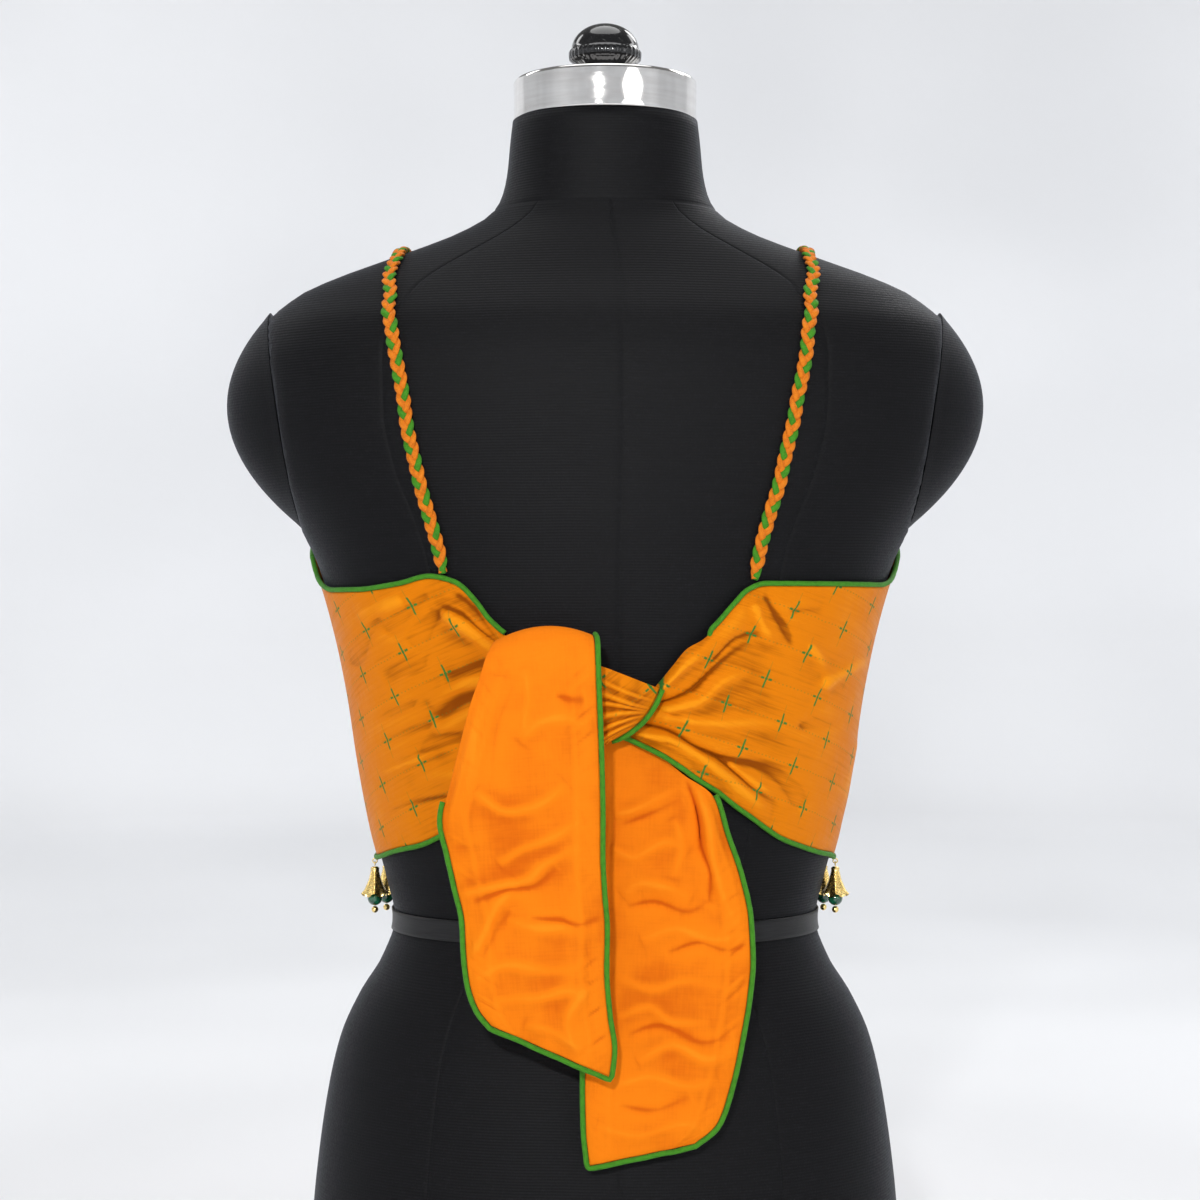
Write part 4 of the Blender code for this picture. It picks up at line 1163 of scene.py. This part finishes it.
def edge_line(place, u, v, reach, tuck):
    """Points outside a sheet's edge, and the way that the sheet faces at each.

    Where tuck is 1, the point is under the sheet instead.
    """
    a_little = 0.002
    u, v = np.asarray(u, float), np.asarray(v, float)
    here = place(u, v)
    by_u = (place(u + a_little, v) - place(u - a_little, v)) / (2 * a_little)
    by_v = (place(u, v + a_little) - place(u, v - a_little)) / (2 * a_little)
    along = unit(np.gradient(here, axis=0))
    normal = unit(np.cross(by_u, by_v))
    away = np.cross(along, normal)
    middle = place(0 * u + 0.5, 0 * v + 0.5)
    away *= np.sign(((here - middle) * away).sum(-1, keepdims=True))
    normal *= np.sign((normal * here * [1, 1, 0]).sum())
    half_wall = bpy.context.scene.blouse_cloth.wall / MM / 2
    away *= (reach - TUCK_IN * tuck)[:, None]
    return here + away + normal * (half_wall + PIPING_PROUD - TUCK_UNDER * tuck)[:, None], normal


def faced(points, facing):
    """Points turned about the upright, to face a way."""
    cos, sin = math.cos(facing), math.sin(facing)
    return points @ np.array([[cos, sin, 0], [-sin, cos, 0], [0, 0, 1]])


def turned(name, profile, steps, look, body, node, shape):
    """A solid spun from a profile of (radius, height), then shaped by a function of its points."""
    bpy.ops.object.select_all(action="DESELECT")
    bpy.ops.mesh.primitive_plane_add(size=1, location=(0, 0, 0))
    piece = bpy.context.object
    bpy.ops.object.mode_set(mode="EDIT")
    bpy.ops.mesh.select_all(action="SELECT")
    bpy.ops.mesh.merge(type="CENTER")
    radius, height = profile[0]
    bpy.ops.transform.translate(value=(radius * MM, 0, height * MM))
    for (r0, h0), (r1, h1) in zip(profile, profile[1:]):
        step = ((r1 - r0) * MM, 0, (h1 - h0) * MM)
        bpy.ops.mesh.extrude_region_move(TRANSFORM_OT_translate={"value": step})
    bpy.ops.mesh.select_all(action="SELECT")
    bpy.ops.mesh.spin(steps=steps, angle=math.tau, center=(0, 0, 0), axis=(0, 0, 1))
    bpy.ops.object.mode_set(mode="OBJECT")
    clean(piece)
    write_points(piece, shape(read_points(piece) / MM) * MM)
    clean(piece)
    new_piece(name, look, body, node)


def clustered(seams, low, high, count, offsets):
    """Evenly spaced values from low to high, with a close cluster of more at each seam."""
    values = set(np.linspace(low, high, count).round(3))
    for seam in seams:
        values = {value for value in values if abs(value - seam) > max(offsets) + 0.3}
        values |= {round(seam + sign * offset, 3) for offset in offsets for sign in (-1, 1)}
    return np.array(sorted(value for value in values if low <= value <= high))


class BLOUSE_OT_form(bpy.types.Operator):
    """Makes the dress form's cover, its arm caps and its waist tape"""

    bl_idname = "blouse.form"
    bl_label = "Dress form"

    def execute(self, context):
        self.torso()
        self.arm_caps()
        self.tape()
        return {"FINISHED"}

    def torso(self):
        turns = clustered(SEAM_TURNS, -180, 180, 121, (0, 0.25, 0.5, 0.95))
        heights = clustered((NECK_SEAM,), 0, NECK_TOP, 138, (0, 0.7, 1.4, 2.6))
        rows = len(heights) + 1
        piece, u, v = grid(len(turns) - 1, rows)
        turn = turns[np.rint(u * (len(turns) - 1)).astype(int)]
        row = np.rint(v * rows).astype(int)
        height = heights[np.clip(row - 1, 0, len(heights) - 1)]
        groove = 0 * turn
        for seam in SEAM_TURNS[1:]:
            spread = np.where(np.abs(turn - seam) < 8, (turn - seam) * 2.5, 99)
            groove = np.maximum(groove, np.exp(-(spread**2)))
        neck_bend = height - NECK_SEAM
        groove = np.maximum(groove * (height < NECK_SEAM), np.exp(-((neck_bend / 1.1) ** 2)))
        edge = np.clip(height / 6, 0, 1) * np.clip((NECK_TOP - height) / 4, 0, 1)
        points = off_form(turn, height, -GROOVE_DEPTH * groove * edge)
        pole = (row == 0) | (row == rows)
        points[pole, :2] = 0
        write_points(piece, points * MM)
        clean(piece)
        new_piece("torso_cover", "black_jersey", "root", "form_torso")

    def arm_caps(self):
        reaches = np.sin(np.linspace(0, math.pi / 2, 26))
        whole = 1000
        profile = [(whole * r, whole * (1 - r**2)) for r in reaches] + [(0, 0)]
        for side, word in ((-1, "left"), (1, "right")):

            def shape(points, side=side):
                x, y, z = (points / whole).T
                height = ARM_CAP_MIDDLE + y * ARM_CAP_HALF_HEIGHT
                edge = np.clip((np.hypot(x, y) - 0.93) / 0.07, 0, 1)
                out = arm_seat(height) + SEAM_GAP + z * ARM_CAP_DOME + 0.6 * edge * (z > 0)
                return np.stack([side * out, x * ARM_CAP_HALF_DEPTH, height], -1)

            turned(
                "arm_cap_" + word, profile, 96, "black_jersey", "root",
                "form_arm_cap_" + word, shape,
            )

    def tape(self):
        low, high = WAIST_TAPE
        piece, u, v = grid(180, 6)
        turn = u * 360 - 180
        rolled = 0.25 * np.cos(v * math.tau)
        points = off_form(turn, low + (high - low) * v, TAPE_CLEAR + 0.2 - 0.2 * rolled)
        write_points(piece, points * MM)
        weave_map(piece, round_the_form(turn) * MM, v * (high - low) * MM)
        clean(piece, close=False)
        face_out(piece, lambda face: face.normal.xy.dot(face.center.xy))
        new_piece("waist_tape", "satin_tape", "root", "form_waist_tape")
        thicken(piece, TAPE_THICKNESS * MM)


class BLOUSE_OT_neck(bpy.types.Operator):
    """Makes the chrome neck cap and the black knob"""

    bl_idname = "blouse.neck"
    bl_label = "Neck cap and knob"

    def execute(self, context):
        bottom = NECK_TOP + SEAM_GAP
        top = bottom + NECK_CAP_HEIGHT
        radius = NECK_CAP_RADIUS
        roll = [(math.sin(a), math.cos(a)) for a in np.linspace(0, math.pi / 2, 7)]
        profile = [(0, top - 0.6), (radius - 9, top - 0.6), (radius - 6, top)]
        profile += [(radius - 2.2 + 2.2 * s, top - 2.2 + 2.2 * c) for s, c in roll]
        profile += [(radius - 0.2, bottom + 12), (radius - 0.2, bottom + 4)]
        profile += [(radius - 1.6 + 1.6 * c, bottom + 1.6 - 1.6 * s) for s, c in roll]
        profile += [(0, bottom)]
        shift = np.array([0, CAP_FORWARD, 0])
        turned(
            "neck_cap", profile, 160, "polished_chrome", "root", "form_neck_cap",
            lambda points: points + shift,
        )

        foot = top + SEAM_GAP
        outline = [
            (reach, foot + above)
            for reach, above in (
                (0, 0), (16, 0), (15.2, 1.2), (15, 8), (19.8, 11.4), (21.2, 12.6), (21.5, 14.5),
                (21.5, 16.8), (20.8, 18),
            )
        ]
        dome_foot = foot + 18.6
        rise = KNOB_TOP - dome_foot
        for a in np.linspace(0.0, math.pi / 2, 16)[:-1]:
            outline.append((19.9 * math.cos(a), dome_foot + rise * math.sin(a)))
        outline.append((0, KNOB_TOP))

        def milled(points):
            radius_at = np.hypot(points[:, 0], points[:, 1])
            angle = np.arctan2(points[:, 1], points[:, 0])
            on_rim = (points[:, 2] > foot + 11) & (points[:, 2] < foot + 17.6) & (radius_at > 19)
            notch = 1 - 0.022 * on_rim * (0.5 + 0.5 * np.cos(angle * 36))
            return points * np.stack([notch, notch, 1 + 0 * notch], -1) + shift

        turned(
            "neck_knob", outline, 216, "gloss_moulding", "root", "form_knob", milled
        )
        return {"FINISHED"}


class BLOUSE_OT_panels(bpy.types.Operator):
    """Makes the silk: two back panels, the front panel and the tie that crosses the knot"""

    bl_idname = "blouse.panels"
    bl_label = "Silk panels"

    def execute(self, context):
        # A number after the weave is the strength of the sheet's painted shade in folds and painted
        # highlight on ridges
        for name, across, weave, *depth in (
            ("back_left", 190, turned_weave(21, (-33.0, 413.5))),
            ("back_right", 220, turned_weave(-17, (38.5, 386.0))),
            ("front", 240, front_weave, 0.3),
        ):
            sheet_piece(name + "_silk", name, across, 120, "slubbed_silk", "silk", weave, *depth)
        weave = hung_weave(38, (-3.0, 411.0))
        # 1.5: the strength of the knot's painted shade and painted highlight
        sheet_piece("knot_silk", "knot_wrap", 64, 90, "slubbed_silk", "silk", weave, 1.5)
        return {"FINISHED"}


class BLOUSE_OT_tails(bpy.types.Operator):
    """Makes the two tails of the knot, with their cotton lining outwards"""

    bl_idname = "blouse.tails"
    bl_label = "Tails"

    def execute(self, context):
        for name, across, down, weave in (
            ("tail_front", 96, 260, hung_weave(4, (0, 300))),
            ("tail_rear", 110, 250, hung_weave(-3, (30, 260))),
        ):
            # 0.9: the strength of the tails' painted shade in folds and painted highlight on ridges
            sheet_piece(name + "_cotton", name, across, down, "cotton_lining", "lining", weave, 0.9)
        return {"FINISHED"}


class BLOUSE_OT_piping(bpy.types.Operator):
    """Makes the green piping round every edge of the cloth"""

    bl_idname = "blouse.piping"
    bl_label = "Piping"

    def execute(self, context):
        fine = np.linspace(0, 1, 241)
        for side, top_end, hem_end in (("left", 0.8, 0.95), ("right", 0.66, 0.96)):
            sheet = "back_" + side
            top, hem = fine[fine <= top_end], fine[fine < hem_end]
            self.run(sheet + "_top", sheet, top, 1 + 0 * top, tucked=side == "right")
            self.run(sheet + "_hem", sheet, hem, 0 * hem)
        across = np.linspace(0, 1, 81)
        self.run("knot", "knot_wrap", 1 + 0 * across, across)
        self.run("front_hem", "front", fine, 0 * fine)
        for name, first, last in (
            ("armhole_right", 0, 9), ("neckline", 9, 21), ("armhole_left", 21, 30)
        ):
            some = np.linspace(first / 30, last / 30, 100)
            self.run(name, "front", some, 1 + 0 * some)
        for name, left_from, right_from in (
            ("tail_front", 1 / 2, 1 / 7), ("tail_rear", 2 / 9, 0.18)
        ):
            down_left = np.linspace(left_from, 1, 130)
            over = np.linspace(0.03, 0.97, 50)
            up_right = np.linspace(1, right_from, 180)
            u = np.concatenate([0 * down_left, over, 1 + 0 * up_right])
            v = np.concatenate([down_left, 1 + 0 * over, up_right])
            self.run(name, name, u, v)
        return {"FINISHED"}

    def run(self, name, sheet, u, v, tucked=False):
        """One length of piping along a line on a sheet. A tucked one ends under the sheet."""
        radius = bpy.context.scene.blouse_cloth.cord / MM
        tuck = np.clip(np.arange(len(u)) - len(u) + 9.0, 0, 8) / 8 * tucked
        line, normal = edge_line(PLACES[sheet], u, v, radius + 0.05, tuck**2 * (3 - 2 * tuck))
        length = distances(line)[-1]
        even = np.linspace(0, length, max(12, int(length / PIPING_STATION)))
        line, normal = spaced(line, normal, even)
        radii = np.stack([radius * (1 + 0.05 * pucker(even * 0.7, 1.1))] * 2, -1)
        cord_piece("edge_" + name, line, normal, radii, "piping_cloth", "piping_" + name)


class BLOUSE_OT_straps(bpy.types.Operator):
    """Makes the two shoulder straps, each a plait of two orange strands and a green one"""

    bl_idname = "blouse.straps"
    bl_label = "Straps"

    def execute(self, context):
        for side, word, rows in ((-1, "left", STRAP_LEFT), (1, "right", STRAP_RIGHT)):
            fine = np.linspace(0, 1, 600)
            turn, height = side * column(rows, "turn", fine), column(rows, "height", fine)
            centre = off_form(turn, height, STRAP_LIFT + 0 * fine)
            length = distances(centre)[-1]
            at = np.linspace(0, length, int(length / STRAND_STATION))
            line, normal = spaced(centre, outward(turn, height), at)
            aside = unit(np.cross(np.gradient(line, axis=0), normal))
            for strand in range(3):
                phase = math.tau * (at / STRAP_PERIOD + strand / 3) + 0.12 * np.sin(at / 31)
                gathered = np.clip(np.minimum(at, at[-1] - at) / 8, 0.25, 1)
                path = line + aside * (STRAP_SWING * gathered * np.sin(phase))[:, None]
                path = path + normal * (STRAP_DIP * np.sin(2 * phase))[:, None]
                look = "strand_silk" if strand else "piping_cloth"
                radii = (1 + 0.08 * np.cos(2 * phase))[:, None] * STRAND_RADII
                name = f"strap_{word}_strand_{strand + 1}"
                cord_piece(name, path, normal, radii, look, "strap_" + word)
        return {"FINISHED"}


class BLOUSE_OT_latkans(bpy.types.Operator):
    """Makes the four hem bells with their beads"""

    bl_idname = "blouse.latkans"
    bl_label = "Hem bells"

    def execute(self, context):
        count = {-1: 0, 1: 0}
        for side, turn, hem in zip(*LATKANS.values()):
            side = int(side)
            count[side] += 1
            name = f"latkan_{'left' if side < 0 else 'right'}_{count[side]}"
            self.latkan(name, side * turn, hem)
        return {"FINISHED"}

    def latkan(self, name, turn, hem):
        """One bell on its loop."""
        hem -= CAD_PIPING_RADIUS + SEAM_GAP
        foot = off_form(turn, hem, CLEAR + CAD_HALF_WALL + PIPING_PROUD)
        out = outward(turn, hem) * [1, 1, 0]
        out /= np.linalg.norm(out)
        foot = foot + out * HEM_FLARE
        facing = math.atan2(out[1], out[0])
        loop_reach = CAD_PIPING_RADIUS + SEAM_GAP + LOOP_RADIUS + LOOP_WIRE
        loop_middle = -math.sqrt(loop_reach**2 - HEM_FLARE**2)
        hinge = loop_middle - (LOOP_RADIUS - LOOP_WIRE - EYE_WIRE - SEAM_GAP)
        eye_middle = hinge - EYE_RADIUS
        bell_top = hinge - (2 * EYE_RADIUS + EYE_WIRE + SEAM_GAP)

        for word, node, radius, wire, turned_by, middle, body in (
            ("_ring", "_loop", LOOP_RADIUS, LOOP_WIRE, math.pi / 2, loop_middle, "root"),
            ("_hook", "_eye", EYE_RADIUS, EYE_WIRE, 0, eye_middle, name),
        ):
            self.ring(
                name + word, radius, wire, facing + turned_by, foot + [0, 0, middle], body,
                name + node,
            )
        self.bell(name, facing, foot + [0, 0, bell_top])
        self.beads(name, foot + [0, 0, bell_top])

    def bell(self, name, facing, crown):
        """A ribbed bell with petals at its rim and a pin inside."""
        wall = np.linspace(BELL_RIBS_FROM, BELL_DEPTH, BELL_RIBS * 5)
        depths = np.concatenate([[0, 0, 0.4, 0.9, 1.5, 2.2], wall])
        radii = self.bell_radius(depths)
        radii[0] = 0
        down_ribs = (depths - BELL_RIBS_FROM) / (BELL_RIBS_TO - BELL_RIBS_FROM)
        ribbed = (depths >= BELL_RIBS_FROM) & (depths < BELL_RIBS_TO)
        rib = BELL_RIB_DEPTH * np.cos(down_ribs * BELL_RIBS * math.tau) * ribbed
        inner_depths = np.array([BELL_DEPTH, 14.5, 12, 10, 8, 6, 4.5])
        profile = list(zip(radii + rib, -depths))
        profile += zip(self.bell_radius(inner_depths) - BELL_WALL, -inner_depths)
        profile += [(0.8, -4.5), (0.8, -13.9), (0, -13.9)]

        def petals(points):
            reach = np.hypot(points[:, 0], points[:, 1])
            deep = -points[:, 2]
            angle = np.arctan2(points[:, 1], points[:, 0])
            wave = -np.cos(BELL_PETALS * angle)
            on_wall = reach > 1
            flare = 1 + np.interp(deep, BELL["depth"], BELL["petal"]) * wave * on_wall
            curl = BELL_CURL * wave * np.clip((deep - 13.5) / 2.9, 0, 1) ** 2 * on_wall
            bent = points * np.stack([flare, flare, 1 + 0 * flare], -1)
            bent[:, 2] += curl
            return faced(bent, facing) + crown

        turned(
            name + "_petals", profile, BELL_STEPS, "gold_plating", name, name + "_bell",
            petals,
        )

    def beads(self, name, crown):
        """The glass bead in the bell's mouth and the small gold one under it."""
        tip_depth = BEAD_DEPTH + BEAD_RADIUS + SEAM_GAP + TIP_RADIUS
        for word, node, radius, depth, look, slot in (
            ("_drop", "_bead", BEAD_RADIUS, BEAD_DEPTH, "bead_glass", "glass"),
            ("_ball", "_tip", TIP_RADIUS, tip_depth, "gold_plating", "gold"),
        ):
            bow = np.linspace(0, math.pi, 25)
            profile = [(radius * math.sin(a), radius * math.cos(a)) for a in bow]
            profile[0], profile[-1] = (0, radius), (0, -radius)
            centre = crown - [0, 0, depth]
            turned(
                name + word, profile, BEAD_STEPS, look, name, name + node,
                lambda points: points + centre,
            )

    def bell_radius(self, depths):
        """The bell's radius at depths below its crown, before it is ribbed and bent."""
        return np.interp(depths, BELL["depth"][1:], BELL["radius"][1:])

    def ring(self, name, radius, wire, facing, centre, body, node):
        """A wire ring whose hole faces the way given."""
        bpy.ops.object.select_all(action="DESELECT")
        bpy.ops.mesh.primitive_torus_add(
            major_segments=32, minor_segments=12, major_radius=radius * MM, minor_radius=wire * MM
        )
        piece = bpy.context.object
        points = read_points(piece)
        write_points(piece, faced(points[:, [2, 0, 1]], facing) + centre * MM)
        clean(piece)
        new_piece(name, "gold_plating", body, node)


class BLOUSE_OT_stage(bpy.types.Operator):
    """Makes the floor, the lights and the camera"""

    bl_idname = "blouse.stage"
    bl_label = "Stage"

    def execute(self, context):
        self.backdrop()
        self.lights(context.scene.blouse_stage.brightness)
        self.camera(context.scene.blouse_stage)
        return {"FINISHED"}

    def backdrop(self):
        piece, u, v = grid(96, 40)
        stops = (0, 0.4, 0.5, 0.6, 0.7, 1)
        radius = np.interp(v, stops, (0, 2.2, 2.7, 2.95, 3.05, 3.1))
        height = np.interp(v, stops, (0, 0, 0.1, 0.4, 0.8, 2.0))
        angle = u * math.tau
        write_points(piece, np.stack([radius * np.cos(angle), radius * np.sin(angle), height], -1))
        clean(piece, close=False)
        piece.name = piece.data.name = "pale_floor"
        finish(piece, "pale_paper")
        face_out(piece, lambda face: face.normal.z * face.area)

    def lights(self, brightness):
        for name, place, size, power in (
            ("key", (-0.3, -2.2, 1.15), 0.14, 28),
            ("fill", (1.3, -1.9, 0.9), 1.2, 7),
            ("overhead", (0.0, 0.1, 2.6), 2.0, 26),
            ("front_fill", (1.2, 1.7, 2.1), 1.0, 12),
            ("backdrop_left", (-1.7, 1.0, 1.9), 1.2, 17),
            ("backdrop_right", (1.7, 1.0, 1.9), 1.2, 14),
            ("backdrop_near_left", (-1.7, -0.9, 1.9), 1.2, 7),
            ("backdrop_near_right", (1.7, -0.9, 1.9), 1.2, 7),
        ):
            light = bpy.data.lights.new(name, "AREA")
            light.shape = "DISK"
            light.size = size
            light.energy = power * brightness
            holder = bpy.data.objects.new(name, light)
            bpy.context.scene.collection.objects.link(holder)
            target = Vector((0, 0, 0.42))
            if "backdrop" in name:
                target = Vector((0, 2.6, 0.6) if place[1] > 0 else (0.9 * place[0], -2.6, 0.7))
            holder.location = place
            holder.rotation_euler = (target - Vector(place)).to_track_quat("-Z", "Y").to_euler()
        world = bpy.data.worlds.new("pale_room")
        world.use_nodes = True
        background = world.node_tree.nodes["Background"].inputs
        background["Color"].default_value = (0.88, 0.88, 0.88, 1)
        background["Strength"].default_value = 0.26 * brightness
        bpy.context.scene.world = world
        bpy.context.scene.view_settings.view_transform = "Standard"

    def camera(self, settings):
        lens = bpy.data.cameras.new("photo_view")
        lens.sensor_fit = "HORIZONTAL"
        lens.angle = 2 * math.atan(settings.view_width / 2 / settings.distance)
        lens.clip_start = 0.05
        holder = bpy.data.objects.new("photo_view", lens)
        bpy.context.scene.collection.objects.link(holder)
        holder.location = (-0.003, -settings.distance, settings.height)
        holder.rotation_euler = (math.pi / 2, 0, 0)
        bpy.context.scene.camera = holder


OPERATORS = (
    BLOUSE_OT_stage, BLOUSE_OT_form, BLOUSE_OT_neck, BLOUSE_OT_panels, BLOUSE_OT_tails,
    BLOUSE_OT_piping, BLOUSE_OT_straps, BLOUSE_OT_latkans,
)


class BLOUSE_PT_panel(bpy.types.Panel):
    """Lists the steps that make the blouse"""

    bl_idname = "BLOUSE_PT_panel"
    bl_label = "Tie-back blouse"
    bl_space_type = "VIEW_3D"
    bl_region_type = "UI"
    bl_category = "Blouse"

    def draw(self, context):
        for operator in OPERATORS:
            self.layout.operator(operator.bl_idname)
        for settings in ("blouse_cloth", "blouse_form", "blouse_stage"):
            group = getattr(context.scene, settings)
            box = self.layout.box()
            for name in group.__annotations__:
                box.prop(group, name)


CLASSES = (ClothSettings, FormSettings, StageSettings, *OPERATORS, BLOUSE_PT_panel)


def register():
    for each in CLASSES:
        bpy.utils.register_class(each)
    bpy.types.Scene.blouse_cloth = bpy.props.PointerProperty(type=ClothSettings)
    bpy.types.Scene.blouse_form = bpy.props.PointerProperty(type=FormSettings)
    bpy.types.Scene.blouse_stage = bpy.props.PointerProperty(type=StageSettings)


def unregister():
    del bpy.types.Scene.blouse_cloth
    del bpy.types.Scene.blouse_form
    del bpy.types.Scene.blouse_stage
    for each in reversed(CLASSES):
        bpy.utils.unregister_class(each)


def main():
    register()
    for operator in OPERATORS:
        group, name = operator.bl_idname.split(".")
        getattr(getattr(bpy.ops, group), name)()


if __name__ == "__main__":
    main()
